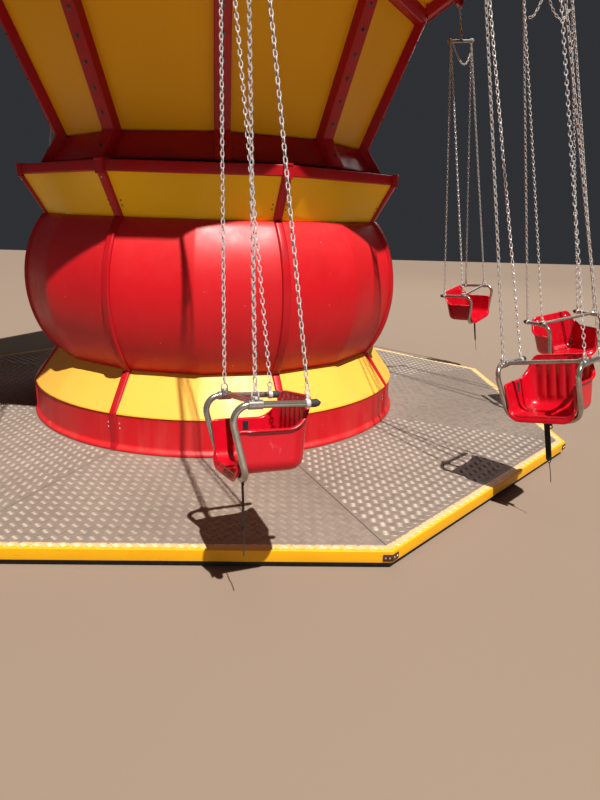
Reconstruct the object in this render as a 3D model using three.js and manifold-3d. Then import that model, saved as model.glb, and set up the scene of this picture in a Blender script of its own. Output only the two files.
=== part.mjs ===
// Chair swing ride: a fixed eight-sided platform with a bulging drum, a ten-sided turning top
// with a canopy, and ten chairs that hang from it on chains. Millimetres, +Z up, origin at the
// centre of the platform's underside. Azimuth 0 faces -Y and grows towards +X.
import * as THREE from "three";
import { mergeVertices } from "three/addons/utils/BufferGeometryUtils.js";
import Module from "manifold-3d";

const wasm = await Module();
wasm.setup();

// Clearance left between pieces that touch
const GAP = 0.3;

// Platform: an octagon of tread plate with a yellow edge over a recessed base
const BASE_SIDES = 8;
const PLATFORM_R = 2321;
const PLATFORM_H = 80;
const EDGE_W = 34;
const PLINTH_H = 28;
const PLINTH_INSET = 18;

// Drum, from the platform up: kick band, lower cone, belly, upper flare, rim
const SKIRT_R = 1205;
const SKIRT_FOOT_R = 1224;
const SKIRT_FOOT_H = 22;
const SKIRT_TOP = 282;
const CONE_TOP = 495;
const CONE_TOP_R = 1060;
const BELLY_TOP = 1298;
const BELLY_MID = 900;
const BELLY_CORE = 800;
const BELLY_BULGE = 402;
const BELLY_HALF = 530;
const BELLY_STEPS = 8;
const FLARE_FOOT_R = 1052;
const FLARE_TOP = 1512;
const FLARE_TOP_R = 1172;
const RIM_TOP = 1567;
const RIM_R = 1184;
const DRUM_RIB_W = 46;
const DRUM_RIB_OUT = 17;
const DRUM_RIB_FIRST = 22.5;
const ROUND_SEGMENTS = 48;

// Turning top: neck, flare, ring beam and canopy, all ten-sided
const TOP_SIDES = 10;
const TOP_PHASE = 7.4;
const BEARING_R = 640;
const NECK_FOOT = 1585;
const NECK_FOOT_R = 1012;
const WAIST_Z = 1725;
const WAIST_R = 925;
const RIB_W = 80;
const RIB_OUT = 50;
const TOP_FLARE_Z = 2404;
const TOP_FLARE_R = 1212;
const RING_TOP = 2478;
const RING_R = 1276;
const CANOPY_R = 1952;
const CANOPY_SLOPE = 0.72;
const ARM_DEPTH = 62;
const ARM_SETBACK = 16;
const FASCIA_T = 30;
const FASCIA_LOW = 2905;
const FASCIA_HIGH = 3130;
const ROOF_TOP = 3520;
const ROOF_TOP_R = 170;
const CAP_TOP = 3600;

// Hanging chairs
const CHAIRS = 10;
const PIVOT_R = 1870;
const PIVOT_Z = 2830;
const LEAN = 11.8;
// How far each chair is turned on its rod: the first four as they hang, the rest their mean
const TWIST = [13, 1, 19, 19, 13, 13, 13, 13, 13, 13];
const PIN_R = 8;
const EYE_IN = 9;
const EYE_OUT = 24;
const EYE_T = 16;
const LUG_T = 10;
const ROD_R = 8;
const SPREADER_DROP = 245;
const SPREADER_HALF = 145;
const SPREADER_R = 11;
const RING_IN = 12.2;
const RING_OUT = 20;
const RING_T = 12;
const CHAIN_R = 5;
const LAP_DROP = 2135;
const ARM_HALF = 180;
const TUBE_R = 12;
const CLAMP_FRONT = -5;
const CLAMP_REAR = 170;
const ARM_END = 204;
const UPRIGHT_Y = -89;
const UPRIGHT_FOOT_Y = -28;
const TUBE_FOOT_HALF = 162;
const BEND_R = 52;
const FOOT_BEND_R = 62;
const SADDLE_X = 72;
const SADDLE_W = 30;
const SADDLE_L = 40;

// Seat tub
const TUB_HALF = 161;
const TUB_FOOT_HALF = 144;
const TUB_T = 7;
const TUB_CORNER = 46;
const TUB_FRONT = -58;
const TUB_FRONT_FOOT = -44;
const TUB_BACK = 204;
const TUB_BACK_FOOT = 184;
const RIM_DROP = 2221;
const BACK_TOP_DROP = 2119;
const TUB_FOOT_DROP = 2366;
const STRAP_W = 26;
const STRAP_T = 6;
const STRAP_Y = 4;
const STRAP_END_DROP = 2590;

// Surface colours
const FINISH = {
  tread: { color: 0x9a948c, roughness: 0.45, metalness: 0.9 },
  yellow: { color: 0xf2c40a, roughness: 0.35, metalness: 0.0 },
  red: { color: 0xc8101a, roughness: 0.3, metalness: 0.0 },
  black: { color: 0x17171a, roughness: 0.8, metalness: 0.0 },
  steel: { color: 0xb9b4ac, roughness: 0.25, metalness: 1.0 },
  zinc: { color: 0xa9a7a2, roughness: 0.4, metalness: 1.0 },
  tub: { color: 0xd1121c, roughness: 0.35, metalness: 0.0 },
};

const ride = new THREE.Group();
const radians = THREE.MathUtils.degToRad;

// Adds a named mesh to a group
function place(group, name, geometry, finish) {
  const mesh = new THREE.Mesh(geometry, new THREE.MeshStandardMaterial(FINISH[finish]));
  mesh.name = name;
  group.add(mesh);
  return mesh;
}

// A closed geometry as a solid that can be joined and cut
function toSolid(geometry) {
  const bare = new THREE.BufferGeometry();
  const flat = geometry.index ? geometry.toNonIndexed() : geometry;
  bare.setAttribute("position", flat.getAttribute("position"));
  const merged = mergeVertices(bare, 1e-3);
  const numbers = Uint32Array.from(merged.index.array);
  const make = (triVerts) =>
    new wasm.Manifold(
      new wasm.Mesh({ numProp: 3, vertProperties: merged.attributes.position.array, triVerts }),
    );
  const solid = make(numbers);
  if (solid.volume() > 0) return solid;
  for (let i = 0; i < numbers.length; i += 3) {
    [numbers[i + 1], numbers[i + 2]] = [numbers[i + 2], numbers[i + 1]];
  }
  return make(numbers);
}

// A solid back as a geometry
function toGeometry(solid) {
  const mesh = solid.getMesh();
  const geometry = new THREE.BufferGeometry();
  const positions = new Float32Array(mesh.numVert * 3);
  for (let i = 0; i < mesh.numVert; i += 1) {
    positions.set(mesh.vertProperties.subarray(i * mesh.numProp, i * mesh.numProp + 3), i * 3);
  }
  geometry.setAttribute("position", new THREE.BufferAttribute(positions, 3));
  geometry.setIndex(new THREE.BufferAttribute(mesh.triVerts, 1));
  geometry.computeVertexNormals();
  return geometry;
}

// Several closed geometries joined into one
function join(parts) {
  return toGeometry(parts.map(toSolid).reduce((sum, next) => sum.add(next)));
}

// A profile of [radius, height] pairs turned about Z, with a corner at azimuth first
function turned(profile, sides, first = 0) {
  const points = profile.map(([r, z]) => new THREE.Vector2(r, z));
  const geometry = new THREE.LatheGeometry(points, sides, radians(first));
  geometry.rotateX(Math.PI / 2);
  return geometry;
}

// A [radius, height] outline made into a plate of the given width, standing at an azimuth
function radialPlate(outline, width, azimuth) {
  const shape = new THREE.Shape(outline.map(([r, z]) => new THREE.Vector2(r, z)));
  const geometry = new THREE.ExtrudeGeometry(shape, { depth: width, bevelEnabled: false });
  geometry.translate(0, 0, -width / 2);
  geometry.rotateX(Math.PI / 2);
  geometry.rotateZ(radians(azimuth - 90));
  return geometry;
}

// Distance to a regular polygon's side, as a share of its corner radius
function polygonShare(azimuth, sides, first) {
  const step = (2 * Math.PI) / sides;
  const turn = THREE.MathUtils.euclideanModulo(azimuth - radians(first), step) - step / 2;
  return Math.cos(step / 2) / Math.cos(turn);
}

// Moves the corners of one height level onto a regular polygon
function flattenLevel(geometry, height, sides, first) {
  const position = geometry.getAttribute("position");
  for (let i = 0; i < position.count; i += 1) {
    if (Math.abs(position.getZ(i) - height) > 0.01) continue;
    const azimuth = Math.atan2(position.getX(i), -position.getY(i));
    const share = polygonShare(azimuth, sides, first);
    position.setXY(i, position.getX(i) * share, position.getY(i) * share);
  }
  return geometry;
}

// A path that passes through listed points, with a tube section at each of them
class PointPath extends THREE.Curve {
  constructor(points) {
    super();
    this.points = points;
  }
  getPoint(share) {
    const place = share * (this.points.length - 1);
    const index = Math.min(Math.floor(place + 1e-9), this.points.length - 2);
    return this.points[index].clone().lerp(this.points[index + 1], place - index);
  }
  getPointAt(share) {
    return this.getPoint(share);
  }
  getTangentAt(share) {
    const index = Math.round(share * (this.points.length - 1));
    const before = this.points[Math.max(index - 1, 0)];
    const here = this.points[index];
    const after = this.points[Math.min(index + 1, this.points.length - 1)];
    const arriving = here.clone().sub(before).normalize();
    const leaving = after.clone().sub(here).normalize();
    return arriving.add(leaving).normalize();
  }
}

// A round tube through listed points
function tube(points, radius, sides) {
  const section = new THREE.Shape();
  for (let i = 0; i < sides; i += 1) {
    const angle = (2 * Math.PI * i) / sides;
    const method = i === 0 ? "moveTo" : "lineTo";
    section[method](radius * Math.cos(angle), radius * Math.sin(angle));
  }
  section.closePath();
  const path = new PointPath(points);
  return new THREE.ExtrudeGeometry(section, { steps: points.length - 1, extrudePath: path });
}

// A straight round bar from one point to another
function bar(start, end, radius, sides) {
  const length = start.distanceTo(end);
  const geometry = new THREE.CylinderGeometry(radius, radius, length, sides);
  const direction = end.clone().sub(start).normalize();
  const turn = new THREE.Quaternion().setFromUnitVectors(new THREE.Vector3(0, 1, 0), direction);
  geometry.applyQuaternion(turn);
  const middle = start.clone().add(end).multiplyScalar(0.5);
  geometry.translate(middle.x, middle.y, middle.z);
  return geometry;
}

// A flat ring about the X or Y axis
function eye(inner, outer, thickness, sides, axis) {
  const profile = [
    [inner, -thickness / 2],
    [outer, -thickness / 2],
    [outer, thickness / 2],
    [inner, thickness / 2],
    [inner, -thickness / 2],
  ];
  const geometry = turned(profile, sides);
  return axis === "x" ? geometry.rotateY(Math.PI / 2) : geometry.rotateX(Math.PI / 2);
}

const point = (x, y, z) => new THREE.Vector3(x, y, z);

// An arc of corner points from one direction to another, for a bent tube
function bend(corner, before, after, radius, steps) {
  const inward = before.clone().sub(corner).normalize();
  const outward = after.clone().sub(corner).normalize();
  const half = inward.angleTo(outward) / 2;
  const run = radius / Math.tan(half);
  const start = corner.clone().addScaledVector(inward, run);
  const end = corner.clone().addScaledVector(outward, run);
  const toCentre = inward.clone().add(outward).normalize();
  const centre = corner.clone().addScaledVector(toCentre, radius / Math.sin(half));
  const from = start.clone().sub(centre);
  const axis = from.clone().cross(end.clone().sub(centre)).normalize();
  const sweep = from.angleTo(end.clone().sub(centre));
  const points = [];
  for (let i = 0; i <= steps; i += 1) {
    points.push(from.clone().applyAxisAngle(axis, (sweep * i) / steps).add(centre));
  }
  return points;
}

// Platform
function buildPlatform(group) {
  const corner = DRUM_RIB_FIRST;
  const inner = PLATFORM_R - EDGE_W;
  const plinth = [
    [0, 0],
    [PLATFORM_R - PLINTH_INSET, 0],
    [PLATFORM_R - PLINTH_INSET, PLINTH_H],
    [0, PLINTH_H],
  ];
  place(group, "platform_plinth", turned(plinth, BASE_SIDES, corner), "black");
  const foot = PLINTH_H + GAP;
  const edge = [
    [inner, foot],
    [PLATFORM_R, foot],
    [PLATFORM_R, PLATFORM_H],
    [inner, PLATFORM_H],
    [inner, foot],
  ];
  place(group, "platform_edge", turned(edge, BASE_SIDES, corner), "yellow");
  const deck = [
    [0, foot],
    [inner - GAP, foot],
    [inner - GAP, PLATFORM_H],
    [0, PLATFORM_H],
  ];
  place(group, "platform_deck", turned(deck, BASE_SIDES, corner), "tread");
}

// Radius of the belly at a height
function bellyRadius(z) {
  const share = (z - BELLY_MID) / BELLY_HALF;
  return BELLY_CORE + BELLY_BULGE * Math.sqrt(1 - share * share);
}

// The belly's outline from foot to top
function bellyProfile() {
  const profile = [];
  for (let i = 0; i <= BELLY_STEPS; i += 1) {
    const z = THREE.MathUtils.lerp(CONE_TOP, BELLY_TOP, i / BELLY_STEPS);
    profile.push([bellyRadius(z), z]);
  }
  return profile;
}

// The drum's outline at a rib, from the platform up to the rim
function drumProfile() {
  return [
    [SKIRT_FOOT_R, PLATFORM_H],
    [SKIRT_FOOT_R, PLATFORM_H + SKIRT_FOOT_H],
    [SKIRT_R, PLATFORM_H + SKIRT_FOOT_H],
    [SKIRT_R, SKIRT_TOP],
    [CONE_TOP_R, CONE_TOP],
    ...bellyProfile().slice(1, -1),
    [bellyRadius(BELLY_TOP), BELLY_TOP],
    [FLARE_TOP_R, FLARE_TOP],
  ];
}

// Drum tiers, each a closed housing
function buildDrum(group) {
  const low = PLATFORM_H + GAP;
  const skirt = [
    [0, low],
    [SKIRT_FOOT_R, low],
    [SKIRT_FOOT_R, PLATFORM_H + SKIRT_FOOT_H],
    [SKIRT_R, PLATFORM_H + SKIRT_FOOT_H],
    [SKIRT_R, SKIRT_TOP],
    [0, SKIRT_TOP],
  ];
  place(group, "drum_kick_band", turned(skirt, ROUND_SEGMENTS, DRUM_RIB_FIRST), "red");
  const cone = [
    [0, SKIRT_TOP + GAP],
    [SKIRT_R, SKIRT_TOP + GAP],
    [CONE_TOP_R, CONE_TOP],
    [0, CONE_TOP],
  ];
  const coneGeometry = turned(cone, ROUND_SEGMENTS, DRUM_RIB_FIRST);
  const creases = 2 * BASE_SIDES;
  flattenLevel(coneGeometry, CONE_TOP, creases, DRUM_RIB_FIRST);
  place(group, "drum_lower_cone", coneGeometry, "yellow");
  const belly = [[0, CONE_TOP + GAP], ...bellyProfile(), [0, BELLY_TOP]];
  belly[1][1] = CONE_TOP + GAP;
  place(group, "drum_belly", turned(belly, creases, DRUM_RIB_FIRST), "red");
  const flare = [
    [0, BELLY_TOP + GAP],
    [FLARE_FOOT_R, BELLY_TOP + GAP],
    [FLARE_TOP_R, FLARE_TOP],
    [0, FLARE_TOP],
  ];
  const flareGeometry = turned(flare, creases, DRUM_RIB_FIRST);
  flattenLevel(flareGeometry, FLARE_TOP, BASE_SIDES, DRUM_RIB_FIRST);
  place(group, "drum_upper_flare", flareGeometry, "yellow");
}

// Eight ribs that run over every tier, carried by the rim they end in
function buildDrumFrame(group) {
  const rim = [
    [0, FLARE_TOP + GAP],
    [RIM_R, FLARE_TOP + GAP],
    [RIM_R, RIM_TOP],
    [0, RIM_TOP],
  ];
  const parts = [turned(rim, BASE_SIDES, DRUM_RIB_FIRST)];
  const line = drumProfile();
  line[0][1] += GAP;
  const seat = line.map(([r, z]) => [r + GAP, z]);
  const face = line.map(([r, z]) => [r + DRUM_RIB_OUT, z]);
  face[1][1] += DRUM_RIB_OUT;
  face[2][1] += DRUM_RIB_OUT;
  const head = RIM_TOP - 4;
  const inHead = RIM_R - 40;
  seat.push([seat.at(-1)[0], FLARE_TOP + GAP + 2], [inHead, FLARE_TOP + GAP + 2], [inHead, head]);
  face.push([RIM_R + 12, FLARE_TOP], [RIM_R + 12, head]);
  const outline = [...seat, ...face.reverse()];
  for (let i = 0; i < BASE_SIDES; i += 1) {
    const azimuth = DRUM_RIB_FIRST + (360 / BASE_SIDES) * i;
    parts.push(radialPlate(outline, DRUM_RIB_W, azimuth));
  }
  place(group, "drum_rim_and_ribs", join(parts), "red");
}

// Turntable ring that carries the turning top
function buildBearing(group) {
  const ring = [
    [0, RIM_TOP + GAP],
    [BEARING_R, RIM_TOP + GAP],
    [BEARING_R, NECK_FOOT - GAP],
    [0, NECK_FOOT - GAP],
  ];
  place(group, "turntable_ring", turned(ring, 32), "steel");
}

const topAzimuth = (i) => TOP_PHASE + (360 / TOP_SIDES) * i;

// Underside of the canopy arms at a radius
const armLow = (r) => 2437 + CANOPY_SLOPE * (r - 1272);

// Neck, ten ribs and the ring beam that joins them at the top
function buildTopFrame(group) {
  const neck = [
    [0, NECK_FOOT],
    [NECK_FOOT_R, NECK_FOOT],
    [WAIST_R, WAIST_Z],
    [0, WAIST_Z],
  ];
  const ring = [
    [TOP_FLARE_R - 70, TOP_FLARE_Z + GAP],
    [RING_R - 10, TOP_FLARE_Z + GAP],
    [RING_R, armLow(RING_R)],
    [RING_R, RING_TOP],
    [TOP_FLARE_R - 70, RING_TOP],
    [TOP_FLARE_R - 70, TOP_FLARE_Z + GAP],
  ];
  const rib = [
    [NECK_FOOT_R - 60, NECK_FOOT],
    [NECK_FOOT_R + RIB_OUT, NECK_FOOT],
    [WAIST_R + RIB_OUT, WAIST_Z],
    [TOP_FLARE_R + RIB_OUT, TOP_FLARE_Z + 10],
    [TOP_FLARE_R + RIB_OUT - 4, TOP_FLARE_Z + 40],
    [TOP_FLARE_R - 30, TOP_FLARE_Z + 40],
    [TOP_FLARE_R - 30, TOP_FLARE_Z + GAP + 2],
    [TOP_FLARE_R + 2, TOP_FLARE_Z + GAP + 2],
    [WAIST_R + 2, WAIST_Z + GAP],
    [WAIST_R - 60, WAIST_Z - 5],
  ];
  const parts = [turned(neck, TOP_SIDES, TOP_PHASE), turned(ring, TOP_SIDES, TOP_PHASE)];
  for (let i = 0; i < TOP_SIDES; i += 1) {
    parts.push(radialPlate(rib, RIB_W, topAzimuth(i)));
  }
  place(group, "top_neck_and_ribs", join(parts), "red");
  const flare = [
    [0, WAIST_Z + GAP],
    [WAIST_R, WAIST_Z + GAP],
    [TOP_FLARE_R, TOP_FLARE_Z],
    [0, TOP_FLARE_Z],
  ];
  place(group, "top_flare_panels", turned(flare, TOP_SIDES, TOP_PHASE), "yellow");
}

// The clevis under an arm's end: two cheeks and the pin across them
function lug(azimuth) {
  const cheekGap = EYE_T / 2 + 2;
  const parts = [];
  const outline = [
    [PIVOT_R - 30, armLow(PIVOT_R) + 12],
    [PIVOT_R - 22, PIVOT_Z - 20],
    [PIVOT_R + 22, PIVOT_Z - 20],
    [PIVOT_R + 30, armLow(PIVOT_R) + 30],
  ];
  for (const side of [-1, 1]) {
    const cheek = radialPlate(outline, LUG_T, 90);
    cheek.translate(0, side * (cheekGap + LUG_T / 2), 0);
    cheek.rotateZ(radians(azimuth - 90));
    parts.push(cheek);
  }
  const reach = cheekGap + LUG_T + 4;
  const pin = bar(point(PIVOT_R, -reach, PIVOT_Z), point(PIVOT_R, reach, PIVOT_Z), PIN_R, 8);
  parts.push(pin.rotateZ(radians(azimuth - 90)));
  return parts;
}

// Canopy: ten arms with a rim beam, soffit, fascia, roof and cap
function buildCanopy(group) {
  const inner = RING_R + GAP;
  const rimIn = CANOPY_R - 90;
  const low = armLow(CANOPY_R);
  const rim = [
    [rimIn, armLow(rimIn)],
    [CANOPY_R, low],
    [CANOPY_R, low + ARM_DEPTH - GAP],
    [rimIn, armLow(rimIn) + ARM_DEPTH - GAP],
    [rimIn, armLow(rimIn)],
  ];
  const parts = [turned(rim, TOP_SIDES, TOP_PHASE)];
  const outer = CANOPY_R - ARM_SETBACK;
  const arm = [
    [inner, armLow(inner)],
    [outer, armLow(outer)],
    [outer, armLow(outer) + ARM_DEPTH - GAP],
    [inner, armLow(inner) + ARM_DEPTH - GAP],
  ];
  for (let i = 0; i < TOP_SIDES; i += 1) {
    parts.push(radialPlate(arm, RIB_W, topAzimuth(i)));
    parts.push(...lug(topAzimuth(i)));
  }
  const soffitSeat = (r) => armLow(r) + ARM_DEPTH;
  const soffitTop = soffitSeat(CANOPY_R) + 6;
  const soffit = [
    [0, RING_TOP + GAP],
    [RING_R, RING_TOP + GAP],
    [RING_R, soffitSeat(RING_R)],
    [CANOPY_R, soffitSeat(CANOPY_R)],
    [CANOPY_R, soffitTop],
    [0, soffitTop],
  ];
  const soffitGeometry = turned(soffit, TOP_SIDES, TOP_PHASE);
  const frame = parts.map(toSolid).reduce((sum, next) => sum.add(next));
  place(group, "canopy_arms", toGeometry(frame), "red");
  place(group, "canopy_soffit", soffitGeometry, "yellow");
  const fascia = [
    [CANOPY_R + GAP, FASCIA_LOW],
    [CANOPY_R + FASCIA_T, FASCIA_LOW],
    [CANOPY_R + FASCIA_T, FASCIA_HIGH],
    [CANOPY_R + GAP, FASCIA_HIGH],
    [CANOPY_R + GAP, FASCIA_LOW],
  ];
  place(group, "canopy_fascia", turned(fascia, TOP_SIDES, TOP_PHASE), "red");
  const roof = [
    [0, soffitTop + GAP],
    [CANOPY_R, soffitTop + GAP],
    [CANOPY_R, FASCIA_HIGH - 20],
    [ROOF_TOP_R, ROOF_TOP],
    [0, ROOF_TOP],
  ];
  place(group, "canopy_roof", turned(roof, TOP_SIDES, TOP_PHASE), "yellow");
  const cap = [
    [0, ROOF_TOP + GAP],
    [ROOF_TOP_R + 30, ROOF_TOP + GAP],
    [ROOF_TOP_R + 30, ROOF_TOP + 30],
    [60, CAP_TOP],
    [0, CAP_TOP],
  ];
  place(group, "canopy_cap", turned(cap, TOP_SIDES, TOP_PHASE), "red");
}

// Hanger: eye on the canopy's pin, rod, and the spreader bar with its end stops, which the rod's
// swivel lets turn
function hangerGeometry(twist) {
  const angle = radians(twist);
  const end = SPREADER_HALF + 16;
  const stop = 6;
  const along = (x) => point(x * Math.cos(angle), x * Math.sin(angle), -SPREADER_DROP);
  return join([
    eye(EYE_IN, EYE_OUT, EYE_T, 8, "y"),
    bar(point(0, 0, -EYE_IN - 6), along(0), ROD_R, 6),
    bar(along(-end), along(end), SPREADER_R, 10),
    bar(along(-end - stop), along(-end + 2), SPREADER_R + 6, 8),
    bar(along(end - 2), along(end + stop), SPREADER_R + 6, 8),
  ]);
}

// The bent tube: armrest, upright, across below the tub's front, and back again
function frameTubePoints() {
  const side = (s) => ({
    end: point(s * ARM_HALF, ARM_END, -LAP_DROP - 4),
    elbow: point(s * ARM_HALF, UPRIGHT_Y, -LAP_DROP + 2),
    foot: point(s * TUBE_FOOT_HALF, UPRIGHT_FOOT_Y, -TUB_FOOT_DROP - TUBE_R - 4),
  });
  const left = side(-1);
  const right = side(1);
  return [
    left.end,
    ...bend(left.elbow, left.end, left.foot, BEND_R, 3),
    ...bend(left.foot, left.elbow, right.foot, FOOT_BEND_R, 2),
    ...bend(right.foot, left.foot, right.elbow, FOOT_BEND_R, 2),
    ...bend(right.elbow, right.foot, right.end, BEND_R, 3),
    right.end,
  ];
}

// Chair frame with its lap bar, the two saddles under the tub, and the four chains up to the rings
// on the spreader
function frameGeometry() {
  const parts = [tube(frameTubePoints(), TUBE_R, 8)];
  const lap = -LAP_DROP;
  parts.push(bar(point(-ARM_HALF, CLAMP_FRONT, lap + 8), point(ARM_HALF, CLAMP_FRONT, lap + 8), TUBE_R - 1, 8));
  for (const side of [-1, 1]) {
    const top = point(side * SPREADER_HALF, 0, -SPREADER_DROP);
    parts.push(eye(RING_IN, RING_OUT, RING_T, 8, "x").translate(top.x, top.y, top.z));
    for (const y of [CLAMP_FRONT, CLAMP_REAR]) {
      const foot = point(side * ARM_HALF, y, lap);
      const toward = foot.clone().sub(top).normalize();
      const start = top.clone().addScaledVector(toward, RING_IN + 3);
      parts.push(bar(start, foot, CHAIN_R, 4));
    }
    const saddle = new THREE.BoxGeometry(SADDLE_W, SADDLE_L, TUBE_R);
    saddle.translate(side * SADDLE_X, UPRIGHT_FOOT_Y + SADDLE_L / 2 - TUBE_R, -TUB_FOOT_DROP - GAP - TUBE_R / 2);
    parts.push(saddle);
  }
  return join(parts);
}

// Rounds one corner of an outline into a few points
function rounded(before, corner, after, radius, steps) {
  const flat = (p) => point(p[0], p[1], 0);
  return bend(flat(corner), flat(before), flat(after), radius, steps).map((p) => [p.x, p.y]);
}

// The tub's section across the seat, from one rim down, round and up to the other
function tubSection(inset) {
  const top = -BACK_TOP_DROP + 20;
  const floor = -TUB_FOOT_DROP + inset;
  const high = TUB_HALF + 3 - inset;
  const low = TUB_FOOT_HALF - inset;
  const radius = TUB_CORNER - inset;
  return [
    [-high, top],
    ...rounded([-high, top], [-low, floor], [low, floor], radius, 3),
    ...rounded([-low, floor], [low, floor], [high, top], radius, 3),
    [high, top],
  ];
}

// The tub's side view, as [rearward, height] pairs
function tubSide(inset, openFront) {
  const floor = -TUB_FOOT_DROP + inset;
  const lift = inset > 0 ? 40 : 0;
  const front = openFront ? TUB_FRONT - 60 : TUB_FRONT;
  const frontFoot = openFront ? TUB_FRONT_FOOT - 60 : TUB_FRONT_FOOT;
  const back = TUB_BACK - inset;
  const backFoot = TUB_BACK_FOOT - inset;
  const backTop = -BACK_TOP_DROP;
  return [
    [front, -RIM_DROP + lift],
    [frontFoot, floor],
    ...rounded([frontFoot, floor], [backFoot, floor], [back, backTop], TUB_CORNER - inset, 3),
    [back, backTop + lift],
    [back - 34 + inset, backTop + lift],
    [back - 62, -RIM_DROP + 22 + lift],
    [back - 90, -RIM_DROP + lift],
  ];
}

// A block with the tub's section one way and its side view the other way
function tubBlock(inset, openFront) {
  const asShape = (outline) => new THREE.Shape(outline.map(([u, v]) => new THREE.Vector2(u, v)));
  const reach = 500;
  const settings = { depth: reach, bevelEnabled: false };
  const across = new THREE.ExtrudeGeometry(asShape(tubSection(inset)), settings);
  across.translate(0, 0, -reach / 2);
  across.rotateX(Math.PI / 2);
  const along = new THREE.ExtrudeGeometry(asShape(tubSide(inset, openFront)), settings);
  along.translate(0, 0, -reach / 2);
  along.rotateX(Math.PI / 2);
  along.rotateZ(Math.PI / 2);
  return toSolid(across).intersect(toSolid(along));
}

// Seat tub, open in front and above, with the hanging crotch strap
function tubGeometry() {
  const shell = tubBlock(0, false).subtract(tubBlock(TUB_T, true));
  const strapTop = -TUB_FOOT_DROP + 2;
  const length = strapTop + STRAP_END_DROP;
  const strap = new THREE.BoxGeometry(STRAP_W, STRAP_T, length);
  strap.translate(0, STRAP_Y, strapTop - length / 2);
  return toGeometry(shell.add(toSolid(strap)));
}

// One chair, hanging at its azimuth, leaning out as the ride turns and twisted on its rod
function buildChair(group, number, shapes) {
  const chair = new THREE.Group();
  const azimuth = topAzimuth(number - 1);
  const heading = radians(azimuth);
  const twist = TWIST[number - 1];
  chair.position.set(PIVOT_R * Math.sin(heading), -PIVOT_R * Math.cos(heading), PIVOT_Z);
  chair.rotation.set(0, -radians(LEAN), radians(azimuth - 90), "ZYX");
  const label = "chair_" + String(number).padStart(2, "0");
  place(chair, label + "_hanger", hangerGeometry(twist), "zinc");
  place(chair, label + "_frame", shapes.frame.clone().rotateZ(radians(twist)), "steel");
  place(chair, label + "_tub", shapes.tub.clone().rotateZ(radians(twist)), "tub");
  group.add(chair);
}

buildPlatform(ride);
buildDrum(ride);
buildDrumFrame(ride);
buildBearing(ride);
buildTopFrame(ride);
buildCanopy(ride);
const shapes = { frame: frameGeometry(), tub: tubGeometry() };
for (let number = 1; number <= CHAIRS; number += 1) {
  buildChair(ride, number, shapes);
}

export default ride;
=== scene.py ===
# %% [markdown]
# This scene dresses a small chair swing ride: an eight-sided platform of tread plate, a bulging
# drum, a ten-sided turning top, and ten tub chairs that hang from it on chains. The imported model
# gives every main shape and place. Here each piece gets its fine shape and its finish, and we
# start by loading the model.

from math import cos, pi, radians, sin, sqrt, tan

import bpy
import numpy as np
from mathutils import Matrix, Vector


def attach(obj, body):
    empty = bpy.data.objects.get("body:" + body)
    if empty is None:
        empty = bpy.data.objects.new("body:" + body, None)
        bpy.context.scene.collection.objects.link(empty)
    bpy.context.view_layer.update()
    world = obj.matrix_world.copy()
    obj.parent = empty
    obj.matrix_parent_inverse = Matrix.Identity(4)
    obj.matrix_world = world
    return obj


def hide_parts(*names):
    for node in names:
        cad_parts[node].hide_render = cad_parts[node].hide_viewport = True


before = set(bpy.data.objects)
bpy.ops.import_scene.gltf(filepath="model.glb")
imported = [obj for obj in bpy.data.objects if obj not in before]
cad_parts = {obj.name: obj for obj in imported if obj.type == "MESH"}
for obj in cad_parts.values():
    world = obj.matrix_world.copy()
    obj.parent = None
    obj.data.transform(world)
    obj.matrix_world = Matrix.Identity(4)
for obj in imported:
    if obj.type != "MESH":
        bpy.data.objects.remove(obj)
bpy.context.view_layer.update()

# %% [markdown]
# The camera stands in front of the ride at the height of a grown-up's chest, a little to the
# right of the middle, and looks down on the platform. Its place was worked out from the
# platform's corners and the drum's rings, so a piece drawn at its true size falls on the same
# spot as in the photograph.

# %% Camera
CAMERA_PLACE = (0.4254, -4.2548, 1.35)
CAMERA_HEADING = 2.13
CAMERA_PITCH = 17.14
CAMERA_ROLL = 1.655
LONG_SIDE_PIXELS = 800
FOCAL_PIXELS = 610.6


def make_camera():
    """Turns a camera that looks straight down to face +Y, then down by its pitch, then rolls it."""
    data = bpy.data.cameras.new("photo_camera")
    data.sensor_width = 36.0
    data.lens = data.sensor_width * FOCAL_PIXELS / LONG_SIDE_PIXELS
    data.clip_start = 0.05
    camera = bpy.data.objects.new("photo_camera", data)
    heading = Matrix.Rotation(radians(-CAMERA_HEADING), 4, "Z")
    pitch = Matrix.Rotation(radians(90 - CAMERA_PITCH), 4, "X")
    roll = Matrix.Rotation(radians(CAMERA_ROLL), 4, "Z")
    camera.matrix_world = Matrix.Translation(CAMERA_PLACE) @ heading @ pitch @ roll
    bpy.context.scene.collection.objects.link(camera)
    bpy.context.scene.camera = camera
    return camera


camera = make_camera()
print("camera lens", round(camera.data.lens, 2), "mm")

# %% [markdown]
# A plain pale floor and a few soft lights show the shapes. The main light comes from high on the
# front right. Its direction was worked out from the edge of the canopy's shade on the drum's
# belly in the photograph, so the turning top and the belly's upper left lie in shade as they do
# there. It is a sun lamp, whose rays are parallel, so the direction is the same at every chair. A
# wide light behind the ride keeps its far side clear, and a low weak one in front stands for the
# light that sunny ground throws back. The Standard view shows paint as strong as it is; the
# film-like view would pale it.

# %% Floor and lights
FLOOR_COLOUR = (0.22, 0.160, 0.118, 1.0)
FLOOR_HALF = 15.0
KEY_AZIMUTH = 22.0
KEY_RISE = 61.7
KEY_STRENGTH = 7.0
KEY_SPREAD = 0.7
KEY_COLOUR = (1.0, 0.97, 0.92)
SKY_COLOUR = (0.80, 0.86, 1.0, 1.0)
SKY_STRENGTH = 0.035
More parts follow.
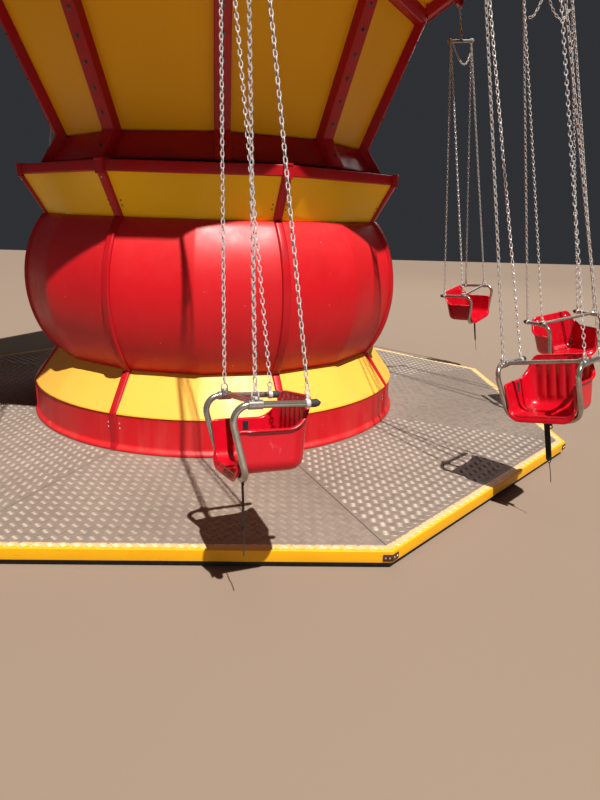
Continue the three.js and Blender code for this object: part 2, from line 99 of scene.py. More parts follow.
# Each wide light: name, place, the point it faces, side in metres, watts, colour.
WIDE_LIGHTS = (
    ("fill", (-7.0, -4.0, 3.5), (0, 0, 1.2), 5.0, 11, (0.92, 0.96, 1.0)),
    ("back", (4.0, 7.5, 6.0), (0, 0, 1.4), 5.0, 170, (1.0, 0.98, 0.95)),
    ("overhead", (0.5, -1.0, 9.5), (0, 0, 1.0), 4.0, 70, (0.92, 0.96, 1.0)),
    ("bounce", (0.8, -3.7, 0.12), (0, -1.5, 1.45), 2.4, 9, (1.0, 0.93, 0.86)),
)


def make_floor():
    """A flat square of 30 metres under the ride."""
    mesh = bpy.data.meshes.new("floor")
    corners = [(x * FLOOR_HALF, y * FLOOR_HALF, 0) for x, y in ((-1, -1), (1, -1), (1, 1), (-1, 1))]
    mesh.from_pydata(corners, [], [(0, 1, 2, 3)])
    floor = bpy.data.objects.new("floor", mesh)
    material = bpy.data.materials.new("pale_floor")
    material.use_nodes = True
    shader = material.node_tree.nodes["Principled BSDF"]
    shader.inputs["Base Color"].default_value = FLOOR_COLOUR
    shader.inputs["Roughness"].default_value = 0.9
    mesh.materials.append(material)
    bpy.context.scene.collection.objects.link(floor)


def hang_light(data, place, way, axis):
    """Puts a lamp at a place, with its own axis of the given name turned along way."""
    light = bpy.data.objects.new(data.name, data)
    light.location = place
    light.rotation_mode = "QUATERNION"
    light.rotation_quaternion = way.to_track_quat(axis, "Y")
    bpy.context.scene.collection.objects.link(light)


def make_sun(name, azimuth, rise, strength, spread, colour):
    """Parallel rays from an azimuth right of the front and a height in degrees; spread softens shadows."""
    data = bpy.data.lights.new(name, "SUN")
    data.energy = strength
    data.angle = radians(spread)
    data.color = colour
    level = cos(radians(rise))
    way = Vector((level * sin(radians(azimuth)), -level * cos(radians(azimuth)), sin(radians(rise))))
    hang_light(data, way * 8, way, "Z")


def make_wide_light(name, place, target, size, watts, colour):
    """A square light of the given side that faces the target."""
    data = bpy.data.lights.new(name, "AREA")
    data.size = size
    data.energy = watts
    data.color = colour
    hang_light(data, place, Vector(target) - Vector(place), "-Z")


def make_sky(colour, strength):
    """An even pale sky all round."""
    world = bpy.data.worlds.new("even_sky")
    world.use_nodes = True
    background = world.node_tree.nodes["Background"]
    background.inputs["Color"].default_value = colour
    background.inputs["Strength"].default_value = strength
    bpy.context.scene.world = world


make_floor()
make_sun("key", KEY_AZIMUTH, KEY_RISE, KEY_STRENGTH, KEY_SPREAD, KEY_COLOUR)
for row in WIDE_LIGHTS:
    make_wide_light(*row)
make_sky(SKY_COLOUR, SKY_STRENGTH)
bpy.context.scene.view_settings.view_transform = "Standard"
print("lights:", ", ".join(light.name for light in bpy.data.lights))

# %% [markdown]
# Most finishes share a few steps, so we write them once: a helper that adds a node and joins
# its sockets, one that starts a material, and one that gives a soft random pattern between 0
# and 1. All patterns read Object coordinates, in metres, so they stay on the piece.


# %% Material helpers
def add_node(tree, kind, inputs=None, **settings):
    """Adds a shader node, sets its options, and links or sets each named input."""
    node = tree.nodes.new("ShaderNode" + kind)
    for option, value in settings.items():
        setattr(node, option, value)
    for socket, value in (inputs or {}).items():
        if isinstance(value, bpy.types.NodeSocket):
            tree.links.new(value, node.inputs[socket])
        else:
            node.inputs[socket].default_value = value
    return node


def start_material(name, roughness, metallic=0.0, gloss=0.5):
    """A material with its shader's even values set, its node tree, and the Object coordinates."""
    material = bpy.data.materials.new(name)
    material.use_nodes = True
    tree = material.node_tree
    shader = tree.nodes["Principled BSDF"]
    shader.inputs["Roughness"].default_value = roughness
    shader.inputs["Metallic"].default_value = metallic
    shader.inputs["Specular IOR Level"].default_value = gloss
    return material, tree, shader, add_node(tree, "TexCoord").outputs["Object"]


def maths(tree, operation, *values):
    """One sum on up to three numbers or sockets."""
    return add_node(tree, "Math", dict(enumerate(values)), operation=operation).outputs[0]


def ramp(tree, value, low, high, top=1.0):
    """0 where the value is low and top where it is high, in a straight line between them."""
    inputs = {"Value": value, "From Min": low, "From Max": high, "To Max": top}
    return add_node(tree, "MapRange", inputs).outputs["Result"]


def part_along(tree, vector, axis):
    """A vector's part along X, Y or Z."""
    return add_node(tree, "SeparateXYZ", {"Vector": vector}).outputs[axis]


def pattern(tree, place, scale, low, high, stretch=(1, 1, 1), detail=4.0):
    """Noise of the given scale per metre, spread so that low becomes 0 and high becomes 1."""
    mapped = add_node(tree, "Mapping", {"Vector": place, "Scale": stretch})
    noise = add_node(tree, "TexNoise", {"Vector": mapped.outputs[0], "Scale": scale, "Detail": detail})
    return ramp(tree, noise.outputs["Fac"], low, high)


def blend_colour(tree, share, first, second):
    """first where share is 0 and second where it is 1; each is a colour or a socket."""
    return add_node(tree, "Mix", {0: share, 6: first, 7: second}, data_type="RGBA").outputs[2]


def blend_value(tree, share, first, second):
    """A number that runs from first to second as share runs from 0 to 1."""
    return add_node(tree, "MapRange", {"Value": share, "To Min": first, "To Max": second}).outputs["Result"]


def finish_shader(tree, shader, colour, roughness, layers):
    """Joins a colour, a roughness unless it is None, and bumps stacked on one another.

    Each bump layer is (height socket, strength, depth in metres).
    """
    tree.links.new(colour, shader.inputs["Base Color"])
    if roughness is not None:
        tree.links.new(roughness, shader.inputs["Roughness"])
    inputs = {}
    for height, strength, depth in layers:
        inputs.update({"Height": height, "Strength": strength, "Distance": depth})
        inputs["Normal"] = add_node(tree, "Bump", inputs).outputs["Normal"]
    tree.links.new(inputs["Normal"], shader.inputs["Normal"])


# %% [markdown]
# The drum and the turning top are clad in moulded plastic panels. Weather has dulled them, so
# the light makes a broad weak glow on them and no sharp spot. Fine dust lies low down, the gloss
# has the slight ripple of a moulding, and there are a few pale chips. Faces that look up get a
# pale film that is dust and also a painted highlight. One recipe with different colours makes
# them alike; the yellow of the drum's upper flare is a paler copy, painted light for the light
# that the sunny deck throws up onto it.


# %% Moulded panels
PANEL_RED = (0.57, 0.004, 0.010, 1.0), (0.50, 0.003, 0.008, 1.0)
PANEL_YELLOW = (0.90, 0.440, 0.003, 1.0), (0.86, 0.405, 0.002, 1.0)
# Painted light: a paler copy of the panels' yellow for the flare, which the sunny deck lights from below.
FLARE_YELLOW_LIT = (0.98, 0.575, 0.003, 1.0), (0.95, 0.54, 0.002, 1.0)
PALE_DUST_AND_SHEEN = (0.45, 0.36, 0.26, 1.0)
PANEL_CHIP = (0.75, 0.60, 0.50, 1.0)
DUST_LEVEL = 0.08


def moulded_panel(name, shades, dust_top, gloss, roughness, film):
    """Two close shades in wide soft patches, dust that thins out up to dust_top, and pale chips.

    A thin pale film, of the share given, covers the faces that look up: dust and a painted highlight.
    """
    material, tree, shader, place = start_material(name, roughness[0], gloss=gloss)
    shade = blend_colour(tree, pattern(tree, place, 2.2, 0.35, 0.7), *shades)
    streaks = pattern(tree, place, 9.0, 0.48, 0.85, stretch=(1, 1, 0.14))
    low = ramp(tree, part_along(tree, place, "Z"), dust_top, DUST_LEVEL)
    # Faces that look up get a pale film: dust, and also a painted highlight of the light from above.
    tilt = part_along(tree, add_node(tree, "NewGeometry").outputs["Normal"], "Z")
    upward = ramp(tree, tilt, 0.05, 0.6, film)
    thin = maths(tree, "MULTIPLY_ADD", maths(tree, "MULTIPLY", streaks, low), 0.13, upward)
    dusty_and_sheened = blend_colour(tree, thin, shade, PALE_DUST_AND_SHEEN)
    chips = pattern(tree, place, 70.0, 0.765, 0.80, detail=2.0)
    chipped = blend_colour(tree, chips, dusty_and_sheened, PANEL_CHIP)
    wear = pattern(tree, place, 14.0, 0.3, 0.75)
    ripple = pattern(tree, place, 6.0, 0.0, 1.0, detail=1.0)
    peel = pattern(tree, place, 220.0, 0.0, 1.0, detail=2.0)
    bumps = [(ripple, 0.10, 0.02), (peel, 0.05, 0.002)]
    finish_shader(tree, shader, chipped, blend_value(tree, wear, *roughness), bumps)
    return material


panel_red = moulded_panel("panel_red", PANEL_RED, 0.9, 0.42, (0.40, 0.50), 0.03)
panel_yellow = moulded_panel("panel_yellow", PANEL_YELLOW, 0.6, 0.22, (0.36, 0.46), 0.22)
flare_yellow_lit = moulded_panel("flare_yellow_lit", FLARE_YELLOW_LIT, 0.6, 0.22, (0.36, 0.46), 0.22)
print("panel finishes:", panel_red.name, panel_yellow.name, flare_yellow_lit.name)

# %% [markdown]
# Steel parts are painted or plated. Paint on the ribs and the platform's edge is thicker and
# has chips and grime; the tubes of the chairs are polished stainless steel with finger marks;
# the chains are zinc plated, duller and blotchy; hangers and clamps are a darker plain steel. Two
# recipes and a table of colours make them all.


# %% Paint and metals
# Each paint: name, its two shades, the colour under its chips, and the scale of its grime.
PAINTS = (
    ("frame_red", (0.45, 0.006, 0.012, 1), (0.36, 0.005, 0.009, 1), (0.30, 0.20, 0.16, 1), 7.0),
    ("rusty_dark", (0.085, 0.022, 0.014, 1), (0.045, 0.018, 0.014, 1), (0.16, 0.07, 0.03, 1), 25.0),
    ("worn_yellow", (0.72, 0.58, 0.40, 1), (0.55, 0.42, 0.26, 1), (0.34, 0.28, 0.23, 1), 16.0),
)
# Each metal: name, its two shades, least and greatest roughness, the scale of its blotches, and
# how metallic it is, which a dull coat makes less.
METALS = (
    ("polished_tube", (0.44, 0.41, 0.37, 1), (0.27, 0.24, 0.20, 1), 0.13, 0.25, 18.0, 0.82),
    ("zinc_chain", (0.64, 0.61, 0.60, 1), (0.42, 0.39, 0.37, 1), 0.36, 0.52, 90.0, 0.35),
    ("clamp_steel", (0.46, 0.44, 0.41, 1), (0.20, 0.18, 0.16, 1), 0.26, 0.42, 120.0, 0.8),
    ("dark_bolt", (0.16, 0.13, 0.12, 1), (0.06, 0.05, 0.05, 1), 0.35, 0.55, 60.0, 1.0),
    ("bright_screw", (0.80, 0.78, 0.74, 1), (0.50, 0.48, 0.45, 1), 0.25, 0.40, 80.0, 1.0),
)
GRIME = (0.06, 0.04, 0.03, 1.0)
RUBBER = (0.012, 0.011, 0.011, 1)


def painted_steel(name, colour, deep, bare, grime_scale):
    """Brushed-out paint: two shades, fine chips to the bare colour, and dull patches of grime."""
    material, tree, shader, place = start_material(name, 0.38, gloss=0.30)
    shade = blend_colour(tree, pattern(tree, place, 5.0, 0.3, 0.75), colour, deep)
    chips = pattern(tree, place, 120.0, 0.72, 0.76, detail=3.0)
    chipped = blend_colour(tree, chips, shade, bare)
    grime = pattern(tree, place, grime_scale, 0.52, 0.9, detail=8.0)
    grimy = blend_colour(tree, maths(tree, "MULTIPLY", grime, 0.4), chipped, GRIME)
    brushed = pattern(tree, place, 60.0, 0.0, 1.0, detail=3.0)
    bumps = [(brushed, 0.12, 0.002), (chips, 0.4, -0.0005)]
    finish_shader(tree, shader, grimy, blend_value(tree, grime, 0.34, 0.58), bumps)
    return material


def bare_metal(name, colour, dark, rough_low, rough_high, blotch_scale, metallic):
    """Metal whose colour and gloss change in blotches, with fine scratches."""
    material, tree, shader, place = start_material(name, rough_low, metallic=metallic)
    blotches = pattern(tree, place, blotch_scale, 0.35, 0.75, detail=6.0)
    shade = blend_colour(tree, blotches, colour, dark)
    scratches = pattern(tree, place, 500.0, 0.0, 1.0, stretch=(1, 1, 0.1))
    roughness = blend_value(tree, blotches, rough_low, rough_high)
    finish_shader(tree, shader, shade, roughness, [(scratches, 0.06, 0.0006)])
    return material


def plain_dark(name, colour, roughness, grain_scale):
    """A dull dark surface with a fine grain, for rubber and plugs."""
    material, tree, shader, place = start_material(name, roughness)
    grain = pattern(tree, place, grain_scale, 0.3, 0.8)
    lighter = tuple(2.2 * c + 0.01 for c in colour[:3]) + (1.0,)
    finish_shader(tree, shader, blend_colour(tree, grain, colour, lighter), None, [(grain, 0.25, 0.001)])
    return material


frame_red, rusty_dark, worn_yellow = [painted_steel(*row) for row in PAINTS]
polished_tube, zinc_chain, clamp_steel, dark_bolt, bright_screw = [bare_metal(*row) for row in METALS]
black_rubber = plain_dark("black_rubber", RUBBER, 0.75, 90.0)
print("paints:", len(PAINTS), "and metals:", len(METALS))

# %% [markdown]
# The tubs are moulded in one piece like the drum's panels, but they are handled and knocked, so
# they have fine pale scuffs. The straps are woven: two sets of threads that cross, drawn in
# metres, so that they keep their size.


# %% Tub plastic and webbing
TUB_RED = (0.50, 0.002, 0.013, 1), (0.41, 0.002, 0.009, 1)
SCUFF = (0.80, 0.42, 0.40, 1)
WEBBING = (0.010, 0.010, 0.011, 1), (0.060, 0.058, 0.060, 1)


def tub_plastic():
    """Glossy red with scuffs: stretched thin noise that goes pale and dull."""
    material, tree, shader, place = start_material("tub_red", 0.26, gloss=0.38)
    shade = blend_colour(tree, pattern(tree, place, 4.0, 0.3, 0.7), *TUB_RED)
    scuffs = pattern(tree, place, 55.0, 0.66, 0.84, stretch=(1, 1, 0.35), detail=9.0)
    rubs = pattern(tree, place, 9.0, 0.45, 0.8)
    scuffed = blend_colour(tree, maths(tree, "MULTIPLY", scuffs, rubs), shade, SCUFF)
    ripple = pattern(tree, place, 16.0, 0.0, 1.0, detail=1.0)
    peel = pattern(tree, place, 300.0, 0.0, 1.0, detail=2.0)
    bumps = [(ripple, 0.12, 0.006), (peel, 0.06, 0.001), (scuffs, 0.2, 0.0003)]
    finish_shader(tree, shader, scuffed, blend_value(tree, rubs, 0.24, 0.40), bumps)
    return material


def webbing_weave():
    """Two crossing sets of threads as waves along Z and X, black with greyed crests."""
    material, tree, shader, place = start_material("webbing", 0.8, gloss=0.2)
    waves = []
    for scale, axis in ((110.0, "Z"), (150.0, "X")):
        inputs = {"Vector": place, "Scale": scale, "Distortion": 0.4}
        waves.append(add_node(tree, "TexWave", inputs, bands_direction=axis).outputs["Fac"])
    threads = maths(tree, "MULTIPLY", *waves)
    crest = maths(tree, "MULTIPLY", threads, pattern(tree, place, 40.0, 0.4, 0.8))
    shader.inputs["Sheen Weight"].default_value = 0.08
    finish_shader(tree, shader, blend_colour(tree, crest, *WEBBING), None, [(threads, 0.6, 0.0008)])
    return material


tub_red = tub_plastic()
webbing = webbing_weave()
print("chair finishes:", tub_red.name, webbing.name)

# %% [markdown]
# The deck is aluminium tread plate. Its bars are real shapes further on, so the finish only has
# to give a dull, trodden metal: warm grey with worn patches and dirt in wide clouds, and a painted
# shade that darkens it towards +X. The bars get a brighter one, because feet polish them.


# %% Tread plate finish
PLATE_GREY = (0.242, 0.191, 0.154, 1), (0.195, 0.152, 0.121, 1)
BAR_GREY = (0.33, 0.262, 0.212, 1), (0.26, 0.205, 0.163, 1)
PLATE_DIRT = (0.13, 0.10, 0.08, 1)


def tread_finish(name, shades, metallic, roughness):
    """Dull metal with clouds of dirt and finer stains, and a painted shade that darkens it towards +X."""
    material, tree, shader, place = start_material(name, roughness[0], metallic=metallic)
    clouds = pattern(tree, place, 1.8, 0.35, 0.7, detail=6.0)
    stains = pattern(tree, place, 22.0, 0.45, 0.8, detail=8.0)
    # Painted shade: the colour darkens towards +X, where the deck looks darker under the light.
    painted_shade_towards_x = ramp(tree, part_along(tree, place, "X"), 0.0, 2.2, 0.45)
    part = maths(tree, "MULTIPLY_ADD", stains, 0.5, painted_shade_towards_x)
    colour = blend_colour(tree, part, blend_colour(tree, clouds, *shades), PLATE_DIRT)
    grain = pattern(tree, place, 350.0, 0.0, 1.0)
    finish_shader(tree, shader, colour, blend_value(tree, stains, *roughness), [(grain, 0.1, 0.0005)])
    return material


tread_plate = tread_finish("tread_plate", PLATE_GREY, 0.10, (0.55, 0.70))
trodden_bar = tread_finish("trodden_bar", BAR_GREY, 0.24, (0.46, 0.58))
print("tread plate finishes:", tread_plate.name, trodden_bar.name)

# %% [markdown]
# Every new piece is a mesh built from arrays. These helpers make the faces of a grid, put
# arrays into a mesh, and copy one small shape many times, which is how bolts, tread bars and
# chain links are made. A shape is always a pair: its corners, and a list of arrays of faces.


# %% Mesh helpers
def grid_faces(rows, columns, wrap_rows=False, wrap_columns=False):
    """Four corners for each cell of a rows x columns grid whose corner (i, j) is i * columns + j."""
    last_row = rows if wrap_rows else rows - 1
    last_column = columns if wrap_columns else columns - 1
    i, j = np.meshgrid(np.arange(last_row), np.arange(last_column), indexing="ij")
    down, across = (i + 1) % rows, (j + 1) % columns
    corners = [i * columns + j, i * columns + across, down * columns + across, down * columns + j]
    return np.stack(corners, -1).reshape(-1, 4)


def ring_grid(rings):
    """A grid of points that comes back to its start both ways, as a shape."""
    return rings.reshape(-1, 3), [grid_faces(*rings.shape[:2], wrap_rows=True, wrap_columns=True)]


def fill_mesh(mesh, vertices, face_sets):
    """Puts corner places and one or more arrays of faces (three or four corners each) into a mesh."""
    vertices = np.asarray(vertices, float).reshape(-1, 3)
    sizes = np.concatenate([np.full(len(f), f.shape[1]) for f in face_sets])
    loops = np.concatenate([f.reshape(-1) for f in face_sets])
    mesh.vertices.add(len(vertices))
    mesh.vertices.foreach_set("co", vertices.reshape(-1).astype(np.float32))
    mesh.loops.add(len(loops))
    mesh.loops.foreach_set("vertex_index", loops.astype(np.int32))
    mesh.polygons.add(len(sizes))
    mesh.polygons.foreach_set("loop_start", (np.cumsum(sizes) - sizes).astype(np.int32))
    mesh.update(calc_edges=True)


def make_piece(name, shape, body, slot, material, replaces=(), sharp=35):
    """A finished object: smooth except at edges sharper than the angle, riding on its body."""
    mesh = bpy.data.meshes.new(name)
    fill_mesh(mesh, *shape)
    mesh.validate()
    mesh.shade_smooth()
    mesh.set_sharp_from_angle(angle=radians(sharp))
    mesh.materials.append(material)
    piece = bpy.data.objects.new(name, mesh)
    bpy.context.scene.collection.objects.link(piece)
    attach(piece, body)
    if replaces:
        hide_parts(*replaces)
    return piece


def repeat(shape, places):
    """Copies of one shape; copy k's corner is places[k], a 4 x 4 array, times the corner."""
    vertices = np.asarray(shape[0], float)
    places = np.asarray(places, float)
    copies = np.einsum("kab,nb->kna", places[:, :3, :3], vertices) + places[:, None, :3, 3]
    steps = np.arange(len(places)) * len(vertices)
    faces = [(f[None] + steps[:, None, None]).reshape(-1, f.shape[1]) for f in shape[1]]
    return copies.reshape(-1, 3), faces


def join_shapes(shapes):
    """Several shapes as one."""
    start, all_vertices, quads, triangles = 0, [], [], []
    for vertices, face_sets in shapes:
        for faces in face_sets:
            (quads if faces.shape[1] == 4 else triangles).append(faces + start)
        all_vertices.append(vertices)
        start += len(vertices)
    sets = [np.concatenate(group) for group in (quads, triangles) if group]
    return np.concatenate(all_vertices), sets


def turn_about_z(angle):
    """The 4 x 4 array that turns about Z by an angle in radians."""
    c, s = cos(angle), sin(angle)
    turn = np.eye(4)
    turn[:2, :2] = [[c, -s], [s, c]]
    return turn


def shift(x, y, z):
    """The 4 x 4 array that moves by x, y, z."""
    move = np.eye(4)
    move[:3, 3] = (x, y, z)
    return move


print("a grid of 3 x 4 points has", len(grid_faces(3, 4)), "faces")

# %% [markdown]
# Most solid pieces here are rings of points joined along a path: a rib, a tube, a bolt, a whole
# tier of the drum. One helper joins the rings and closes both ends with a fan of triangles, so
# that nothing is left open.


# %% Closed bars and slabs
def closed_bar(rings):
    """Rings of points joined into a closed bar; each end gets a middle point and a fan."""
    rings = np.asarray(rings, float)
    rows, columns = rings.shape[:2]
    sides = grid_faces(rows, columns, wrap_columns=True)
    middles = np.stack([rings[0].mean(0), rings[-1].mean(0)])
    j = np.arange(columns)
    k = (j + 1) % columns
    centre = np.full(columns, rows * columns)
    last = (rows - 1) * columns
    fans = np.concatenate([np.stack([centre, k, j], -1), np.stack([centre + 1, last + j, last + k], -1)])
    return np.concatenate([rings.reshape(-1, 3), middles]), [sides, fans]


def corner_numbers(grid):
    """The number of each of a grid's corners, in rows and columns."""
    return np.arange(grid[..., 0].size).reshape(grid.shape[:2])


def joined_grids(front, back, border):
    """Two grids of the same size, and walls between them along a line of corner numbers."""
    faces = grid_faces(*front.shape[:2])
    count = front[..., 0].size
    here, after = border[:-1], border[1:]
    walls = np.stack([here, here + count, after + count, after], -1)
    vertices = np.concatenate([front.reshape(-1, 3), back.reshape(-1, 3)])
    return vertices, [np.concatenate([faces, faces[:, ::-1] + count, walls])]


def slab(front, back):
    """Two grids joined all round their borders; the front one faces outwards."""
    number = corner_numbers(front)
    border = [number[0, :-1], number[:-1, -1], number[-1, :0:-1], number[::-1, 0]]
    return joined_grids(front, back, np.concatenate(border))


def unit(vectors):
    """Each vector divided by its own length."""
    return vectors / np.linalg.norm(vectors, axis=-1, keepdims=True)


def walked_along(path):
    """How far along a path of points each point lies."""
    return np.concatenate([[0], np.cumsum(np.linalg.norm(np.diff(path, axis=0), axis=1))])


# Parallel to nothing that is drawn here, so a cross product with it never vanishes.
ODD_DIRECTION = (0.31, 0.52, 0.80)
# Close to straight up, but along no fixing's own axis.
NEARLY_UP = (0.13, 0.07, 1.0)


def frames_along(path):
    """Two unit vectors square to a path at each point, carried along it without a twist."""
    tangents = unit(np.gradient(path, axis=0))
    side = np.cross(tangents[0], ODD_DIRECTION)
    sides = []
    for tangent in tangents:
        side = unit(side - tangent * np.dot(side, tangent))
        sides.append(side)
    return np.array(sides), np.cross(tangents, sides)


def round_bar(path, radii, around=12):
    """A closed round bar: a circle at each point of the path, of that point's radius."""
    path = np.asarray(path, float)
    first, second = frames_along(path)
    angles = np.linspace(0, 2 * pi, around, endpoint=False)[None, :, None]
    radii = np.broadcast_to(radii, len(path))[:, None, None]
    circle = np.cos(angles) * first[:, None] + np.sin(angles) * second[:, None]
    return closed_bar(path[:, None] + radii * circle)


def hoop(middle, axis, radius, wire, around, section):
    """A closed ring of round wire about an axis through its middle."""
    axis = unit(np.array(axis, float))
    first = unit(np.cross(axis, ODD_DIRECTION))
    second = np.cross(axis, first)
    turns = np.linspace(0, 2 * pi, around, endpoint=False)[:, None, None]
    angles = np.linspace(0, 2 * pi, section, endpoint=False)[None, :, None]
    outward = np.cos(turns) * first + np.sin(turns) * second
    rings = outward * (radius + wire * np.cos(angles)) - axis * wire * np.sin(angles)
    return ring_grid(rings + np.array(middle, float))


def rounded_ring(width, depth, radius, steps=3):
    """A rectangle with rounded corners in the XY plane, as an array of points."""
    angles = np.linspace(0, pi / 2, steps)
    points = []
    for quarter, (sx, sy) in enumerate(((1, 1), (-1, 1), (-1, -1), (1, -1))):
        turned = angles + quarter * pi / 2
        x = sx * (width / 2 - radius) + radius * np.cos(turned)
        y = sy * (depth / 2 - radius) + radius * np.sin(turned)
        points.append(np.stack([x, y, np.zeros(steps)], -1))
    return np.concatenate(points)


def rounded_block(width, depth, height, edge):
    """A block about the origin with rounded upright edges, drawn in a little at both ends."""
    full = rounded_ring(width, depth, edge)
    small = rounded_ring(width - edge, depth - edge, edge * 0.6)
    low, high = edge * 0.6 - height / 2, height / 2 - edge * 0.6
    rows = [(small, -height / 2), (full, low), (full, high), (small, height / 2)]
    return closed_bar(np.stack([ring + (0, 0, z) for ring, z in rows]))


def turned_shape(profile, sides=12):
    """A profile of radius and height pairs turned about Z, closed at both ends."""
    angles = np.linspace(0, 2 * pi, sides, endpoint=False)
    profile = np.asarray(profile, float)
    x = profile[:, :1] * np.cos(angles)
    y = profile[:, :1] * np.sin(angles)
    return closed_bar(np.stack([x, y, np.broadcast_to(profile[:, 1:], x.shape)], -1))


def axes_at(x, y, z, places):
    """4 x 4 arrays from arrays of three axes and of places."""
    out = np.zeros((len(places), 4, 4))
    out[:, :3] = np.stack([x, y, z, places], -1)
    out[:, 3, 3] = 1
    return out


def aims(places, normals):
    """4 x 4 arrays that put a shape at each place with its Z axis along the normal there."""
    places = np.asarray(places, float)
    up = unit(np.broadcast_to(np.asarray(normals, float), places.shape))
    side = unit(np.cross(NEARLY_UP, up))
    return axes_at(side, np.cross(up, side), up, places)


def rounded_profile(points, radius, steps=4):
    """A line of points whose inner corners become arcs of the radius, smaller where there is no room."""
    points = [np.array(p, float) for p in points]
    out = [points[0]]
    for before, here, after in zip(points, points[1:], points[2:]):
        a, b = before - here, after - here
        la, lb = np.linalg.norm(a), np.linalg.norm(b)
        run = min(radius, 0.45 * la, 0.45 * lb)
        share = np.linspace(0, 1, steps + 1)[:, None]
        start, end = here + a / la * run, here + b / lb * run
        out.extend((1 - share) ** 2 * start + 2 * share * (1 - share) * here + share**2 * end)
    out.append(points[-1])
    return np.array(out)


print("a turned shape of twelve sides has", len(turned_shape([(1, 0), (1, 1)])[0]), "points")

# %% [markdown]
# The drum, platform and top are polygons that turn about one upright axis, but they aren't all
# the same polygon: the drum's foot is round, its belly has sixteen flat facets, its rim has
# eight sides and the turning top has ten. One function makes them all. It turns a profile of
# radius and height about the axis and pulls every ring in towards a polygon by its own share.


# %% Tiers turned about the axis
def polygon_share(azimuths, sides, first):
    """Distance to a regular polygon's side as a share of its corner radius, for each azimuth."""
    step = 2 * pi / sides
    turn = np.mod(azimuths - radians(first), step) - step / 2
    return cos(step / 2) / np.cos(turn)


def tier_azimuths(sides, first, inside=5, edge=0.004):
    """Azimuths once round, with a close pair at each corner so that the corner stays crisp."""
    step = 2 * pi / sides
    local = np.concatenate([[edge], np.linspace(0, step, inside + 2)[1:-1], [step - edge]])
    return np.concatenate([radians(first) + k * step + local for k in range(sides)])


def tier_rings(profile, azimuths, shares):
    """Ring i has radius profile[i][0] times shares[i] at each azimuth, and height profile[i][1]."""
    profile = np.asarray(profile, float)
    radii = profile[:, :1] * shares
    heights = np.broadcast_to(profile[:, 1:], radii.shape)
    return np.stack([radii * np.sin(azimuths), -radii * np.cos(azimuths), heights], -1)


def closed_tier(profile, azimuths, shares):
    """A tier whose profile starts and ends inside, where fans close it."""
    return closed_bar(tier_rings(profile, azimuths, shares))


def hollow_tier(profile, azimuths, shares):
    """A tier whose profile comes back to its start, such as a frame round a hole."""
    return ring_grid(tier_rings(profile, azimuths, shares))


def round_place(radius, degrees_round, height):
    """The point at an azimuth counted from the front, growing to the right."""
    angle = np.radians(degrees_round)
    return np.stack(np.broadcast_arrays(radius * np.sin(angle), -radius * np.cos(angle), height), -1)


def outward_at(degrees_round, rise=0.0):
    """The level direction outwards at an azimuth, with an upward part added."""
    return round_place(1.0, degrees_round, rise)


print("an octagon's side lies at", round(float(polygon_share(0.0, 8, 22.5)), 4), "of its corner radius")

# %% [markdown]
# The drum's lower part is a red kick band that flares out at its foot, and over it a yellow cone
# that starts round and ends with sixteen sides. Each is one closed tier. The cone hangs over the
# band by a few millimetres, which gives the thin shadow line that real moulded panels have.

# %% Kick band and lower cone
PLATFORM_TOP = 0.080
RIB_FIRST = 22.5
DRUM_SIDES = 8
RIB_STEP = 360 / DRUM_SIDES
DRUM_CORNERS = [RIB_FIRST + RIB_STEP * k for k in range(DRUM_SIDES)]
FACETS = 16
ROUND_POINTS = 192
KICK_TOP = 0.282
CONE_TOP = 0.495
# Profiles are pairs of radius and height in metres.
KICK_PROFILE = (
    (1.16, 0.0803),
    (1.226, 0.0803),
    (1.224, 0.096),
    (1.206, 0.112),
    (1.203, 0.268),
    (1.2045, 0.2805),
    (1.15, 0.2815),
)
CONE_PROFILE = (
    (1.15, 0.2825),
    (1.209, 0.2825),
    (1.2075, 0.292),
    (1.062, 0.490),
    (1.056, 0.4948),
    (1.02, 0.4949),
)
round_azimuths = np.linspace(0, 2 * pi, ROUND_POINTS, endpoint=False)
facet_azimuths = tier_azimuths(FACETS, RIB_FIRST)
facet_share = polygon_share(facet_azimuths, FACETS, RIB_FIRST)

kick = closed_tier(rounded_profile(KICK_PROFILE, 0.012), round_azimuths, np.ones(ROUND_POINTS))
make_piece("drum_kick_panels", kick, "base", "panel_red", panel_red, replaces=("drum_kick_band",))

cone_line = rounded_profile(CONE_PROFILE, 0.008, 5)
climb = np.clip((cone_line[:, 1:] - KICK_TOP) / (CONE_TOP - KICK_TOP), 0, 1)
cone = closed_tier(cone_line, facet_azimuths, 1 + (facet_share - 1) * climb)
make_piece("drum_cone_panels", cone, "base", "panel_yellow", panel_yellow, replaces=("drum_lower_cone",))
print("kick band", len(kick[0]), "and cone", len(cone[0]), "points")

# %% [markdown]
# The belly is the widest part of the drum: tall panels that bulge outwards, each folded once
# down its middle, so sixteen flat facets run round it. Its outline is an ellipse, worked out
# here from the height. The fold lines stay soft because two close columns of points meet there.

# %% Belly
BELLY_TOP = 1.298
BELLY_CORE, BELLY_BULGE = 0.800, 0.402
BELLY_MIDDLE, BELLY_REACH = 0.900, 0.530
BELLY_LOW, BELLY_HIGH, BELLY_ROWS = 0.499, 1.294, 30
BELLY_FOOT_LIP = ((1.02, 0.4953), (1.052, 0.4955))
BELLY_TOP_LIP = ((1.060, 1.2976), (1.02, 1.2979))


def belly_radius(height):
    """A core radius plus a bulge that follows an ellipse about the belly's middle height."""
    return BELLY_CORE + BELLY_BULGE * np.sqrt(1 - ((height - BELLY_MIDDLE) / BELLY_REACH) ** 2)


